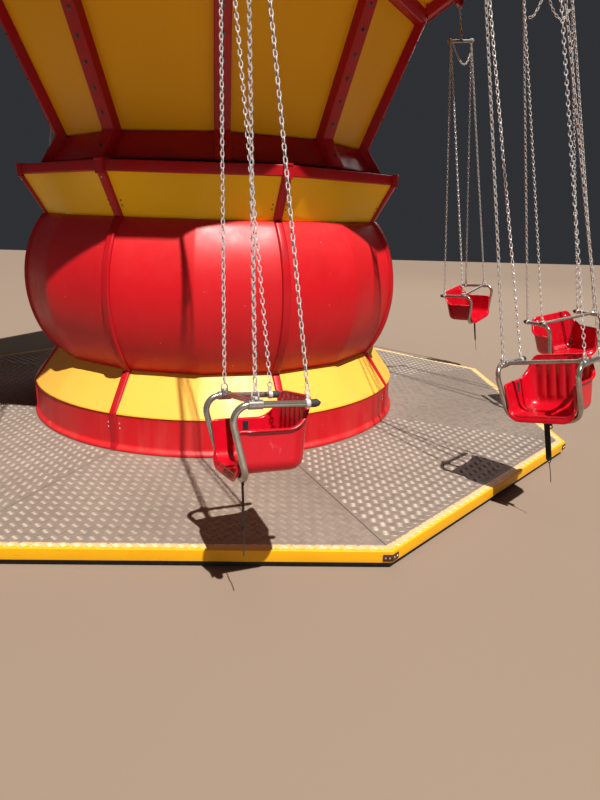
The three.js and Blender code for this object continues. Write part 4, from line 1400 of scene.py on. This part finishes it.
# %% Fascia, roof and cap
FASCIA_LOW, FASCIA_HIGH = 2.905, 3.130
FASCIA_BACK, FASCIA_FRAME, FASCIA_FIELD = CANOPY_R + 0.0005, CANOPY_R + 0.030, CANOPY_R + 0.019
BOARD_R, BOARD_MARGIN = CANOPY_R + 0.0285, 0.048
FASCIA_PROFILE = (
    (FASCIA_BACK, 2.95),
    (FASCIA_BACK, FASCIA_LOW),
    (FASCIA_FRAME, FASCIA_LOW),
    (FASCIA_FRAME, FASCIA_LOW + 0.022),
    (FASCIA_FIELD, FASCIA_LOW + 0.030),
    (FASCIA_FIELD, FASCIA_HIGH - 0.030),
    (FASCIA_FRAME, FASCIA_HIGH - 0.022),
    (FASCIA_FRAME, FASCIA_HIGH),
    (FASCIA_BACK, FASCIA_HIGH),
    (FASCIA_BACK, 2.96),
)
ROOF_FOOT = 3.110
ROOF_TOP = (0.170, 3.520)
ROOF_CORE = (
    (1.2, SOFFIT_TOP + 0.0004),
    (CANOPY_R - 0.006, SOFFIT_TOP + 0.0006),
    (CANOPY_R - 0.006, 3.100),
    (0.168, 3.508),
    (0.10, 3.510),
)
CAP_PROFILE = (
    (0.10, 3.5206),
    (0.205, 3.5206),
    (0.205, 3.546),
    (0.120, 3.572),
    (0.062, 3.598),
    (0.02, 3.5995),
)

fascia = hollow_tier(rounded_profile(FASCIA_PROFILE, 0.006), top_azimuths, top_share)
make_piece("canopy_fascia_boards", fascia, "top", "panel_red", panel_red, replaces=("canopy_fascia",))
board_low, board_high = (BOARD_R, FASCIA_LOW + BOARD_MARGIN), (BOARD_R, FASCIA_HIGH - BOARD_MARGIN)
board = panel_ring(board_low, board_high, 0.085, thickness=0.010, swell=0.001)
make_piece("fascia_panels", board, "top", "panel_yellow", panel_yellow)

roof_panels = panel_ring((CANOPY_R - 0.004, ROOF_FOOT), ROOF_TOP, 0.006, swell=0.004)
roof = join_shapes([roof_panels, closed_tier(ROOF_CORE, top_azimuths, top_share)])
make_piece("canopy_roof_panels", roof, "top", "panel_yellow", panel_yellow, replaces=("canopy_roof",))

hip_ends = [(ROOF_TOP[0] + 0.01, ROOF_TOP[1] - 0.004), (CANOPY_R - 0.012, ROOF_FOOT + 0.001)]
hip_line = smooth_line(hip_ends, 0.01, 0.2)
hips = top_strips(hip_line, strip_section(0.024, 0.010, 0.010, 0.004)[::-1], -outward_of(hip_line))
cap = closed_tier(rounded_profile(CAP_PROFILE, 0.012), top_azimuths, top_share)
make_piece("canopy_hips_and_cap", join_shapes(hips + [cap]), "top", "panel_red", panel_red, ("canopy_cap",))
print("roof climbs from", ROOF_FOOT, "to", ROOF_TOP[1], "m")

# %% [markdown]
# All ten chairs are alike. A chair is drawn once in its own frame, with x outwards from the
# ride, y towards its back, z up and the origin on the pin it swings from. Then it is copied to
# ten places: twisted a little on its rod, as chairs on chains are when the ride stands, leaned
# out, turned to its azimuth, and moved to its pin.

# %% Chair places
CHAIR_COUNT = 10
LEAN = 11.8
TWIST = (13, 1, 19, 19, 13, 13, 13, 13, 13, 13)


def chair_place(number, twisted=True):
    """Turn by the twist on the rod, lean about y, turn about Z to the azimuth, then move to the pin."""
    twist = turn_about_z(radians(TWIST[number - 1] if twisted else 0))
    c, s = cos(radians(-LEAN)), sin(radians(-LEAN))
    lean = np.array([[c, 0, s, 0], [0, 1, 0, 0], [-s, 0, c, 0], [0, 0, 0, 1]], float)
    return pin_place(number - 1) @ lean @ twist


def make_for_each_chair(ending, shape, body_start, slot, material, replaced=None, still=None, **options):
    """Ten pieces, each on its own chair's or hanger's body.

    shape is one shape for all chairs, or a function of the chair's number. still is a part that
    isn't twisted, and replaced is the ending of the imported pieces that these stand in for.
    """
    for number in range(1, CHAIR_COUNT + 1):
        label = f"{number:02d}"
        own_shape = shape(number) if callable(shape) else shape
        placed = repeat(own_shape, [chair_place(number)])
        if still:
            placed = join_shapes([placed, repeat(still, [chair_place(number, False)])])
        replaces = (f"chair_{label}_{replaced}",) if replaced else ()
        make_piece(f"chair_{label}_{ending}", placed, body_start + label, slot, material, replaces, **options)


print("chair 1 stands at", np.round(chair_place(1)[:3, 3], 3))

# %% [markdown]
# A chair hangs from its pin by an eye, a rod and a spreader bar. The spreader is a tube with a
# collar at each end that keeps the chains' rings on it.

# %% Hangers
SPREADER_DROP = 0.245
SPREADER_HALF = 0.145
EYE_INNER, EYE_OUTER, EYE_HALF, EYE_ROUND = 0.0092, 0.024, 0.008, 0.002
EYE_POINTS = 24
# The rod from the eye down: height and radius.
ROD_PROFILE = (
    (-0.021, 0.010),
    (-0.030, 0.0095),
    (-0.042, 0.0095),
    (-0.048, 0.0075),
    (0.030 - SPREADER_DROP, 0.0075),
    (0.024 - SPREADER_DROP, 0.0105),
    (-SPREADER_DROP, 0.0105),
)
# One end of the spreader from its tip inwards: distance past the ring, and radius.
SPREADER_END = ((0.022, 0.0155), (0.021, 0.017), (0.016, 0.017), (0.0155, 0.0155), (0.0145, 0.0112))


def level_bar(x, y, z, radii, around):
    """A round bar along x at one y and one z."""
    return round_bar(np.stack([x, 0 * x + y, 0 * x + z], -1), radii, around)


def eye_shape():
    """A thick ring about the pin, with rounded rims."""
    inner_rim, outer_rim, flat = EYE_INNER + EYE_ROUND, EYE_OUTER - EYE_ROUND, EYE_HALF - EYE_ROUND
    line = [(EYE_INNER, -flat), (inner_rim, -EYE_HALF), (outer_rim, -EYE_HALF), (EYE_OUTER, -flat)]
    line += [(EYE_OUTER, flat), (outer_rim, EYE_HALF), (inner_rim, EYE_HALF), (EYE_INNER, flat)]
    angles = np.linspace(0, 2 * pi, EYE_POINTS, endpoint=False)
    r, y = np.array(line).T[:, :, None]
    vertices, faces = ring_grid(np.stack([r * np.cos(angles), y + 0 * angles, r * np.sin(angles)], -1))
    return vertices, [faces[0][:, ::-1]]


heights, rod_radii = np.array(ROD_PROFILE).T
rod = round_bar(np.stack([0 * heights, 0 * heights, heights], -1), rod_radii, 12)
past, end_radii = np.array(SPREADER_END).T
end_x = SPREADER_HALF + past
spreader_radii = np.concatenate([end_radii, end_radii[::-1]])
spreader = level_bar(np.concatenate([-end_x, end_x[::-1]]), 0, -SPREADER_DROP, spreader_radii, 16)
eye_and_rod = join_shapes([eye_shape(), rod])
make_for_each_chair("eye_rod_spreader", spreader, "hanger_", "zinc_chain", clamp_steel, "hanger", eye_and_rod)
print("spreader", round(2 * end_x[0], 3), "m long")

# %% [markdown]
# The chair's frame is one bent tube: an armrest each side, down in front of the seat and across
# under its floor. A lap bar closes it in front. Its bends are arcs, so the light slides round
# them; the path is worked out corner by corner and carried as a round bar.

# %% Frame tubes
LAP_DROP = 2.135
ARM_HALF = 0.180
TUBE_R = 0.0114
ARM_END = 0.204
BEND_STEPS = 9
# Which corner along the tube, and the radius of its bend.
FRAME_BENDS = ((1, 0.052), (2, 0.062), (3, 0.062), (4, 0.052))
UPRIGHT_Y = -0.089
UPRIGHT_FOOT_Y = -0.028
TUBE_FOOT_HALF = 0.162
TUB_FOOT = -2.366
CLAMP_FRONT, CLAMP_REAR = -0.005, 0.170


def bend(corner, before, after, radius):
    """An arc that touches both legs of a corner."""
    inward = unit(before - corner)
    outward = unit(after - corner)
    half = np.arccos(np.clip(inward @ outward, -1, 1)) / 2
    run = radius / np.tan(half)
    centre = corner + unit(inward + outward) * radius / np.sin(half)
    first = corner + inward * run - centre
    second = corner + outward * run - centre
    sweep = pi - 2 * half
    shares = np.linspace(0, sweep, BEND_STEPS + 1)[:, None]
    across = (second - first * np.cos(sweep)) / np.sin(sweep)
    return centre + first * np.cos(shares) + across * np.sin(shares)


def frame_tube_path():
    """Armrest, upright, the run under the seat, and back, with a rounded corner at each turn."""
    corners = []
    for s in (-1, 1):
        end = (s * ARM_HALF, ARM_END, -LAP_DROP - 0.004)
        elbow = (s * ARM_HALF, UPRIGHT_Y, -LAP_DROP + 0.002)
        foot = (s * TUBE_FOOT_HALF, UPRIGHT_FOOT_Y, TUB_FOOT - TUBE_R - 0.004)
        corners += [end, elbow, foot][::-s]
    corners = np.array(corners)
    first_leg, last_leg = corners[:2].mean(0), corners[-2:].mean(0)
    bends = [bend(corners[k], corners[k - 1], corners[k + 1], r) for k, r in FRAME_BENDS]
    return np.concatenate([[corners[0], first_leg], *bends, [last_leg, corners[-1]]])


frame_path = frame_tube_path()
frame_tube = round_bar(frame_path, TUBE_R, 14)
lap_x = np.array([-0.173, -0.130, -0.05, 0.05, 0.130, 0.173])
lap_bar = level_bar(lap_x, CLAMP_FRONT, 0.008 - LAP_DROP, TUBE_R - 0.0015, 12)
collars = []
for s in (-1, 1):
    rear = [(s * ARM_HALF, y, -LAP_DROP - 0.0035) for y in (0.1625, 0.1635, 0.1765, 0.1775)]
    collars.append(round_bar(rear, [0.0135, 0.0148, 0.0148, 0.0135], 16))
    ear = rounded_block(0.010, 0.012, 0.022, 0.003)
    collars.append(repeat(ear, [shift(s * ARM_HALF, CLAMP_REAR, -LAP_DROP + 0.020)]))
    saddle = rounded_block(0.030, 0.040, TUBE_R + 0.002, 0.003)
    saddle_level = TUB_FOOT - 0.0013 - TUBE_R / 2
    collars.append(repeat(saddle, [shift(s * 0.072, UPRIGHT_FOOT_Y + 0.008, saddle_level)]))
rails = join_shapes([frame_tube, lap_bar])
make_for_each_chair("rails", rails, "chair_", "steel_tube", polished_tube, "frame")
make_for_each_chair("collars", join_shapes(collars), "chair_", "zinc_chain", zinc_chain)
print("frame tube has", len(frame_path), "points along its path")

# %% [markdown]
# Cast clamps join the lap bar to the armrests, and a shackle on each one takes the front chain.
# The tube's open ends are closed by dull dark plugs that turn up a little.

# %% Clamps, shackles and plugs
# Along the tube: distance, and radius.
CLAMP_BODY = ((-0.030, 0.0135), (-0.028, 0.0155), (0.018, 0.0155), (0.020, 0.0135))
# From the armrest in towards the lap bar: distance, lift, and radius.
CLAMP_BOSS = ((0.025, 0.008, 0.0125), (0.022, 0.008, 0.0145), (0.001, 0.006, 0.0145))
# Past the tube's end: distance, lift, and radius.
PLUG = (
    (-0.026, 0, 0.0118),
    (-0.024, 0, 0.0130),
    (-0.008, 0.0005, 0.0134),
    (0, 0.003, 0.0132),
    (0.0045, 0.008, 0.0105),
)
# Across the armrest: distance, and radius.
SHACKLE_BOLT = ((-0.014, 0.004), (-0.0135, 0.005), (0.0135, 0.005), (0.014, 0.004))
SHACKLE_BEND, SHACKLE_WIRE = 0.011, 0.0028


def shackle_loop(x, z):
    """An upright hairpin of round wire: two legs and a half circle."""
    turns = np.linspace(0, pi, 9)
    y, lift = SHACKLE_BEND * np.cos(turns), SHACKLE_BEND * np.sin(turns)
    loop = np.stack([x + 0 * turns, CLAMP_FRONT + y, z + 0.034 + lift], -1)
    front, back = [(x, CLAMP_FRONT + side * SHACKLE_BEND, z + 0.016) for side in (1, -1)]
    return round_bar(np.concatenate([[front], loop, [back]]), SHACKLE_WIRE, 8)


clamps, shackles, plugs = [], [], []
for s in (-1, 1):
    x, z = s * ARM_HALF, -LAP_DROP
    body = [(x, y, z + 0.0005) for y, _ in CLAMP_BODY]
    clamps.append(round_bar(body, [radius for _, radius in CLAMP_BODY], 14))
    boss = [(s * (ARM_HALF - inside), CLAMP_FRONT, z + lift) for inside, lift, _ in CLAMP_BOSS]
    clamps.append(round_bar(boss, [radius for _, _, radius in CLAMP_BOSS], 12))
    block = rounded_block(0.016, 0.026, 0.016, 0.004)
    clamps.append(repeat(block, [shift(x, CLAMP_FRONT, z + 0.019)]))
    plug = [(x, ARM_END + y, z - 0.0036 + lift) for y, lift, _ in PLUG]
    plugs.append(round_bar(plug, [radius for _, _, radius in PLUG], 12))
    bolt = [(s * (ARM_HALF + across), CLAMP_FRONT, z + 0.021) for across, _ in SHACKLE_BOLT]
    shackles.append(round_bar(bolt, [radius for _, radius in SHACKLE_BOLT], 8))
    shackles.append(shackle_loop(x, z))
    shackles.append(hoop((x, CLAMP_REAR, z + 0.0345), (1, 0, 0), 0.0085, 0.0026, 14, 6))
    shackles.append(hoop((s * SPREADER_HALF, 0, -SPREADER_DROP), (1, 0, 0), 0.0165, 0.0034, 18, 8))
make_for_each_chair("clamps", join_shapes(clamps), "chair_", "steel_tube", clamp_steel)
make_for_each_chair("plugs", join_shapes(plugs), "chair_", "dark_steel", black_rubber)
make_for_each_chair("shackles", join_shapes(shackles), "chair_", "zinc_chain", zinc_chain)
print("clamps and shackles:", len(clamps) + len(shackles), "parts a chair")

# %% [markdown]
# Each chair hangs on four chains, two from each end of the spreader. A link is a loop of round
# wire with straight sides, and every next link is turned a quarter. A slack safety chain hangs
# in a bow under the spreader, from its middle to the front chains, or on some chairs from end
# to end. All links of a chair are copies of one small loop of thirty-two faces.

# %% Chain links
LINK_PITCH = 0.0193
LINK_WIRE = 0.0023
LINK_BEND = 0.0058
LINK_STRAIGHT = 0.0060
RING_REACH = 0.0165
# Close to a chair's y axis but along no chain; a link's turn is counted from it.
LINK_SIDE = (0.05, 1.0, 0.05)
# The four taut chains' feet on the frame: place along it, and lift above the armrest.
CHAIN_FEET = ((CLAMP_FRONT, 0.047), (CLAMP_REAR, 0.043))
BOW_POINTS = 33
# Bows as (x, z) offsets from the middle of the spreader.
END_TO_END = ((-0.112, -0.016), (-0.070, -0.090), (0.005, -0.150), (0.075, -0.135), (0.122, -0.085))
LEFT_BOW = ((-0.004, -0.018), (-0.045, -0.072), (-0.088, -0.128), (-0.124, -0.137))
RIGHT_BOW = ((0.004, -0.018), (0.020, -0.110), (0.062, -0.170), (0.102, -0.160), (0.126, -0.135))


def link_shape():
    """A path of two half circles and two straights in the XZ plane, with a round section about it."""
    angles = np.radians([0, 60, 120, 180, 180, 240, 300, 360])
    lift = np.repeat([LINK_STRAIGHT, -LINK_STRAIGHT], 4)
    out = np.stack([np.cos(angles), np.zeros(8), np.sin(angles)], -1)
    path = LINK_BEND * out + np.stack([0 * lift, 0 * lift, lift], -1)
    turns = np.linspace(0, 2 * pi, 4, endpoint=False)[None, :, None] + pi / 4
    section = np.cos(turns) * out[:, None] + np.sin(turns) * np.array([0, 1.0, 0])
    return ring_grid(path[:, None] + LINK_WIRE * section)


def link_places(path, first_turn):
    """Equal steps of about one pitch along a path; every link is turned a quarter from the last."""
    path = np.asarray(path, float)
    walked = walked_along(path)
    count = int(round(walked[-1] / LINK_PITCH))
    middles = (np.arange(count) + 0.5) * walked[-1] / count
    step = walked[-1] / count * 0.45
    before, middle, after = [
        np.stack([np.interp(middles + k, walked, path[:, n]) for n in range(3)], -1) for k in (-step, 0, step)
    ]
    up = unit(after - before)
    side = unit(np.cross(up, LINK_SIDE))
    across = np.cross(up, side)
    turn = (radians(first_turn) + np.arange(count) * pi / 2)[:, None]
    x_axis = side * np.cos(turn) + across * np.sin(turn)
    y_axis = across * np.cos(turn) - side * np.sin(turn)
    return axes_at(x_axis, y_axis, up, middle)


def bow(offsets):
    """A smooth curve through a few points, a polynomial in x and in z."""
    x, z = np.array(offsets).T
    points = np.stack([x, 0 * x, z - SPREADER_DROP], -1)
    knots, shares = np.linspace(0, 1, len(x)), np.linspace(0, 1, BOW_POINTS)
    return np.stack([np.polyval(np.polyfit(knots, line, len(x) - 1), shares) for line in points.T], -1)


def chains_of(number):
    """All links of one chair: four taut chains and the slack one, which differs from chair to chair.

    The first link's turn depends on the chair and on the chain, so that neighbours don't look alike.
    """
    places = []
    for s in (-1, 1):
        ring = np.array([s * SPREADER_HALF, 0, -SPREADER_DROP])
        for y, lift in CHAIN_FEET:
            foot = np.array([s * ARM_HALF, y, -LAP_DROP + lift])
            start = ring + unit(foot - ring) * RING_REACH
            places.append(link_places([start, foot], 17 * number + 31 * s + 200 * y))
    for offsets in (END_TO_END,) if number % 4 == 0 else (LEFT_BOW, RIGHT_BOW):
        places.append(link_places(bow(offsets), 20 + 40 * number))
    return repeat(link_shape(), np.concatenate(places))


make_for_each_chair("chains", chains_of, "chair_", "zinc_chain", zinc_chain, sharp=80)
print("links on the first chair:", len(chains_of(1)[0]) // len(link_shape()[0]))

# %% [markdown]
# The seat is a moulded tub, open in front: a floor, two sides and a back with upright flutes on
# its inside. A grid makes it. Its columns run round the U of the plan, from the left front edge
# round the back to the right one, and its rows run from the rim down the wall, round the lower
# corner and across the floor to the middle. The same grid, moved in by the wall's thickness, is
# the inside, and the two are joined round their border.

# %% Seat tub
TUB_WALL = 0.006
TUB_CORNER = 0.046
PLAN_CORNER = 0.060
RIM_SIDE, RIM_BACK = -2.221, -2.123
TUB_RISE = 0.247
HALF_FOOT, HALF_GAIN = 0.144, 0.0195
BACK_FOOT, BACK_GAIN = 0.184, 0.018
SIDE_COLUMNS, CORNER_COLUMNS, BACK_COLUMNS = 16, 10, 45
WALL_ROWS, CORNER_ROWS = 14, 6
FLOOR_SHARES = (0.3, 0.6, 0.85, 1.0)
FRONT_FOOT, FRONT_GAIN, FRONT_RISE = -0.044, 0.014, 0.145
SWEEP_START, SWEEP_RUN, SWEEP_KNEE = 0.172, 0.112, 0.62
FLUTE_PITCH, FLUTE_DEPTH = 0.0445, 0.0065
GROOVE_BACK, GROOVE_WIDTH, GROOVE_DEPTH = 0.053, 0.004, 0.0022


def front_at(height):
    """The tub's front edge leans forward on the way up."""
    return FRONT_FOOT - FRONT_GAIN * (height - TUB_FOOT) / FRONT_RISE


def half_width_at(height, inset):
    """Half the width between the side walls, which lean out on the way up."""
    return HALF_FOOT + HALF_GAIN * (height - TUB_FOOT) / TUB_RISE - inset


def tub_plan(height, inset):
    """One turn round the U at each height: half width, front and back lines all depend on the height."""
    half = half_width_at(height, inset)
    back = BACK_FOOT + BACK_GAIN * (height - TUB_FOOT) / TUB_RISE - inset
    front = front_at(height)
    corner = np.maximum(PLAN_CORNER - inset, 0.010)
    side = np.linspace(0, 1, SIDE_COLUMNS)[:-1]
    angles = np.linspace(0, pi / 2, CORNER_COLUMNS)[:-1]
    across = np.linspace(-1, 1, BACK_COLUMNS)
    left_y = front + side * (back - corner - front)
    x = [-half + 0 * side, -half + corner * (1 - np.cos(angles)), across * (half - corner)]
    y = [left_y, back - corner + corner * np.sin(angles), back + 0 * across]
    x += [-x[1][:, ::-1], -x[0][:, ::-1]]
    y += [y[1][:, ::-1], y[0][:, ::-1]]
    return np.concatenate(x, 1), np.concatenate(y, 1)


def rim_heights(plan_x, plan_y):
    """Level along the sides, then a hollow sweep up round the rear corners to the top of the back."""
    walked = np.concatenate([[0], np.cumsum(np.hypot(np.diff(plan_x), np.diff(plan_y)))])
    from_end = np.minimum(walked, walked[-1] - walked)
    share = np.clip((from_end - SWEEP_START) / SWEEP_RUN, 0, 1)
    hollow = 0.5 * (share / SWEEP_KNEE) ** 2.0
    crest = 1 - 0.5 * ((1 - share) / (1 - SWEEP_KNEE)) ** 2.2
    return RIM_SIDE + (RIM_BACK - RIM_SIDE) * np.where(share < SWEEP_KNEE, hollow, crest)


def tub_grid(inset):
    """Rows from the rim to the middle of the floor; the wall's lower corner is a quarter circle."""
    floor = TUB_FOOT + inset
    bend_r = TUB_CORNER - inset
    x, y = tub_plan(np.array([[RIM_SIDE]]), 0.0)
    rims = rim_heights(x[0], y[0])
    rows = []
    for share in np.linspace(0, 1, WALL_ROWS):
        heights = rims + (floor + bend_r - rims) * share
        x, y = tub_plan(heights[:, None], inset)
        rows.append((np.diagonal(x), np.diagonal(y), heights))
    for angle in np.linspace(0, pi / 2, CORNER_ROWS + 1)[1:]:
        x, y = tub_plan(np.array([[floor + bend_r]]), inset + bend_r * (1 - cos(angle)))
        rows.append((x[0], y[0], 0 * rims + (floor + bend_r * (1 - sin(angle)))))
    ridge = np.minimum(y[0], y[0].max() - 0.05)
    for share in FLOOR_SHARES:
        rows.append((x[0] * (1 - share), y[0] + (ridge - y[0]) * share, 0 * rims + floor))
    return np.stack([np.stack(row, -1) for row in rows])


def flute(grid):
    """Moves the inside of the back in and out along y in even upright waves that fade at the ends."""
    x, y, z = grid[..., 0], grid[..., 1], grid[..., 2]
    on_back = np.clip((y - 0.115) / 0.04, 0, 1) * np.clip((0.112 - np.abs(x)) / 0.012, 0, 1)
    upright = np.clip((z - (TUB_FOOT + 0.03)) / 0.03, 0, 1) * np.clip((RIM_BACK - 0.012 - z) / 0.02, 0, 1)
    wave = np.abs(np.cos(pi * x / FLUTE_PITCH))
    grid[..., 1] = y - FLUTE_DEPTH * wave * on_back * upright
    return grid


def front_groove(grid):
    """A shallow step on the inside that runs parallel to the front edge, some way behind it."""
    x, y, z = grid[..., 0], grid[..., 1], grid[..., 2]
    dip = np.exp(-(((y - front_at(z) - GROOVE_BACK) / GROOVE_WIDTH) ** 2))
    grid[..., 0] = x + np.sign(x) * GROOVE_DEPTH * dip * (z > TUB_FOOT + 0.02)
    grid[..., 2] = z - GROOVE_DEPTH * dip * (z < TUB_FOOT + 0.03)
    return grid


def weld(vertices, face_sets):
    """Joins corners that share a place; a four-cornered face that loses one becomes a triangle."""
    rounded = np.round(vertices, 6)
    first, number = np.unique(rounded, axis=0, return_index=True, return_inverse=True)[1:]
    quads, triangles = [], []
    for faces in face_sets:
        faces = number.reshape(-1)[faces]
        same = faces == np.roll(faces, -1, axis=1)
        lost = same.sum(1)
        (quads if faces.shape[1] == 4 else triangles).append(faces[lost == 0])
        if faces.shape[1] == 4:
            triangles.append(faces[lost == 1][~same[lost == 1]].reshape(-1, 3))
    sets = [np.concatenate(group) for group in (quads, triangles) if group]
    return np.asarray(vertices)[first], [s for s in sets if len(s)]


def tub_shell(outside, inside):
    """Both grids, and walls between them along the rim and down the two front edges."""
    number = corner_numbers(outside)
    border = np.concatenate([number[::-1, 0], number[0, 1:], number[1:, -1]])[::-1]
    return weld(*joined_grids(outside, inside, border))


outer = tub_grid(0.0)
inner = front_groove(flute(tub_grid(TUB_WALL)))
print("tub grid", outer.shape[:2], "and wall", TUB_WALL * 1000, "mm")

# %% [markdown]
# The tub's rim is a flange that stands out along its sides. A flattened bead carried round the
# whole border makes it. In front a rolled lip hangs down over the frame's tube, and on the back
# sit two rivet heads.

# %% Rim, front lip and rivets
FLANGE_RUN_OUT = 0.045
BEAD_POINTS = 10
# The bead's middle, half width and half thickness, and what the flange adds to the first two.
BEAD_OUT, BEAD_HALF, BEAD_THICK = 0.0025, 0.0068, 0.0052
FLANGE_OUT, FLANGE_HALF = 0.0032, 0.0020
LIP_HALF, LIP_DEPTH, LIP_CORNER, LIP_REACH = 0.157, 0.024, 0.064, 0.016
# The lip's section: share of the way down, share of its reach, and how far behind the front edge.
LIP_SECTION = (
    (0.00, 0.00, 0.0045),
    (0.00, 0.00, -0.0010),
    (0.16, 0.35, -0.0020),
    (0.40, 0.68, -0.0022),
    (0.70, 0.92, -0.0020),
    (0.95, 1.00, -0.0012),
    (1.00, 1.00, 0.0006),
    (0.92, 0.96, 0.0018),
    (0.55, 0.70, 0.0022),
)
RIVET_HALF, RIVET_RISE = 0.100, 0.212
RIVET_PROFILE = ((0.0085, -0.002), (0.0085, 0.0006), (0.0070, 0.0012), (0.0050, 0.0030), (0.0015, 0.0040))


def border_of(grid):
    """The rim and both front edges as one closed line, without the doubled corner points."""
    return np.concatenate([grid[0, 1:-1], grid[1:-1, -1], grid[-2:0:-1, 0]])


def flange_share(grid):
    """1 along the level sides of the rim, falling to 0 at its front ends and less up the back."""
    rim_points = grid[0, 1:-1]
    walked = walked_along(rim_points)
    from_end = np.clip(np.minimum(walked, walked[-1] - walked) / FLANGE_RUN_OUT, 0, 1)
    climbed = (rim_points[:, 2] - RIM_SIDE) / (RIM_BACK - RIM_SIDE)
    share = from_end**2 * (3 - 2 * from_end) * (1 - 0.7 * climbed)
    return np.concatenate([share, np.zeros(len(border_of(grid)) - len(share))])


def rim_bead(outside, inside):
    """A flattened round bead carried round the border; along the rim it is a flange that stands out."""
    out, back = border_of(outside), border_of(inside)
    flange = flange_share(outside)[:, None, None]
    middle = (out + back) / 2
    along = unit(np.roll(middle, -1, axis=0) - np.roll(middle, 1, axis=0))
    normal = out - back
    normal = unit(normal - along * np.sum(normal * along, axis=1)[:, None])
    edge = np.cross(along, normal)
    turns = np.linspace(0, 2 * pi, BEAD_POINTS, endpoint=False)[None, :, None]
    reach = BEAD_OUT + FLANGE_OUT * flange + (BEAD_HALF + FLANGE_HALF * flange) * np.cos(turns)
    return ring_grid(middle[:, None] + normal[:, None] * reach + edge[:, None] * BEAD_THICK * np.sin(turns))


def lip_line(half, foot, corner, angles):
    """Two straights and two round corners, as (x, z) pairs from the left to the right."""
    left = np.stack([corner - half + corner * np.cos(angles), foot + corner + corner * np.sin(angles)], -1)
    return np.concatenate([left, left[::-1] * (-1, 1)])


def front_lip():
    """A rolled plate that slopes down and forward from the front edge and hides the tube there.

    Its upper line is the tub's own section, and its lower line is a larger one. They meet at the
    sides, where the lip fades out.
    """
    angles = np.linspace(pi, 3 * pi / 2, 9)
    upper = lip_line(0.142, TUB_FOOT + 0.003, 0.044, angles)
    lower = lip_line(LIP_HALF, TUB_FOOT - LIP_DEPTH, LIP_CORNER, angles)
    fade = np.sqrt(np.clip((angles - pi) / (0.22 * pi), 0.02, 1))
    fade = np.concatenate([fade, fade[::-1]])[:, None]
    lower = upper + (lower - upper) * fade
    rings = []
    for down, reach, back in LIP_SECTION:
        x, z = (upper + (lower - upper) * down).T
        y = front_at(np.maximum(z, TUB_FOOT)) + back - LIP_REACH * reach * fade[:, 0]
        rings.append(np.stack([x, y, z], -1))
    return closed_bar(np.stack(rings, 1))


def back_rivets(inside):
    """Two round heads near the upper corners of the back's inside, each in a shallow washer."""
    spots = inside.reshape(-1, 3)
    in_front = 9 * (spots[:, 1] < 0.12)
    places = []
    for side in (-1, 1):
        gap = np.hypot(spots[:, 0] - side * RIVET_HALF, spots[:, 2] - TUB_FOOT - RIVET_RISE)
        places.append(spots[np.argmin(gap + in_front)])
    return repeat(turned_shape(RIVET_PROFILE, 12), aims(places, (0, -1, 0.07)))


tub = join_shapes([tub_shell(outer, inner), rim_bead(outer, inner), front_lip()])
make_for_each_chair("seat_tub", tub, "chair_", "tub_red", tub_red, "tub", sharp=50)
make_for_each_chair("back_rivets", back_rivets(inner), "chair_", "steel_tube", clamp_steel)
print("a seat tub has", len(tub[0]), "points")

# %% [markdown]
# A crotch strap of black webbing hangs through the seat's front and down below it, with a small
# folded tab near its top, a ring at its end and the tail of its cord. It is flat webbing, so it
# is a thin slab with a gentle wave. The small dark block on the left wall is painted shade: a
# block of the black webbing that stands for the dark opening of the strap's slot there.

# %% Straps
STRAP_HALF = 0.013
STRAP_Y = 0.004
STRAP_FOOT = -2.572
STRAP_THICKNESS = 0.0030
STRAP_ROWS, STRAP_COLUMNS = 24, 6
TAB_Y = STRAP_Y - 0.0035
END_RING = (0.0075, 0.0020, 16, 6)
SLOT_LEVEL = -2.250


def strap_slab(x_low, x_high, z_low, z_high, y, wave):
    """Straight across, and along its length a slow wave of a millimetre or two in y."""
    z = np.linspace(z_low, z_high, STRAP_ROWS)[:, None]
    x = np.linspace(x_low, x_high, STRAP_COLUMNS)[None, :]
    share = (z - z_low) / (z_high - z_low)
    offset = wave * np.sin(share * 5.0) * share * (1 - share) * 4
    thinner = np.abs(np.linspace(-1, 1, STRAP_COLUMNS)[None, :]) ** 8
    half = STRAP_THICKNESS / 2 * np.clip(1.2 - thinner, 0.4, 1)
    x, z, offset, half = np.broadcast_arrays(x, z, offset, half)
    return slab(np.stack([x, y + offset - half, z], -1), np.stack([x, y + offset + half, z], -1))


def cord_tail():
    """A thin cord that waves a little on its way down."""
    drop = np.linspace(0.012, 0.105, 12)
    path = [0.003 * np.sin(18 * drop), STRAP_Y + 0.002 * np.sin(30 * drop), STRAP_FOOT - drop]
    return round_bar(np.stack(path, -1), 0.0018, 6)


strap = strap_slab(-STRAP_HALF, STRAP_HALF, STRAP_FOOT, TUB_FOOT + 0.002, STRAP_Y, 0.0012)
tab = strap_slab(0.006, 0.026, TUB_FOOT - 0.046, TUB_FOOT - 0.003, TAB_Y, 0.0006)
tab_ring = hoop((0.018, TAB_Y, TUB_FOOT - 0.052), (0, 1, 0), *END_RING)
foot_ring = hoop((0, STRAP_Y, STRAP_FOOT - 0.006), (0, 1, 0), *END_RING)
# Painted shade: a thin block of the black webbing stands for the dark opening of the strap's slot.
slot_shade_place = shift(-half_width_at(SLOT_LEVEL, TUB_WALL), front_at(SLOT_LEVEL) + 0.118, SLOT_LEVEL - 0.002)
slot = repeat(rounded_block(0.022, 0.006, 0.050, 0.003), [slot_shade_place @ turn_about_z(pi / 2)])
straps = join_shapes([strap, tab, tab_ring, foot_ring, cord_tail(), slot])
make_for_each_chair("strap", straps, "chair_", "webbing_black", webbing)
print("strap hangs", round((TUB_FOOT - STRAP_FOOT) * 1000), "mm below the seat")
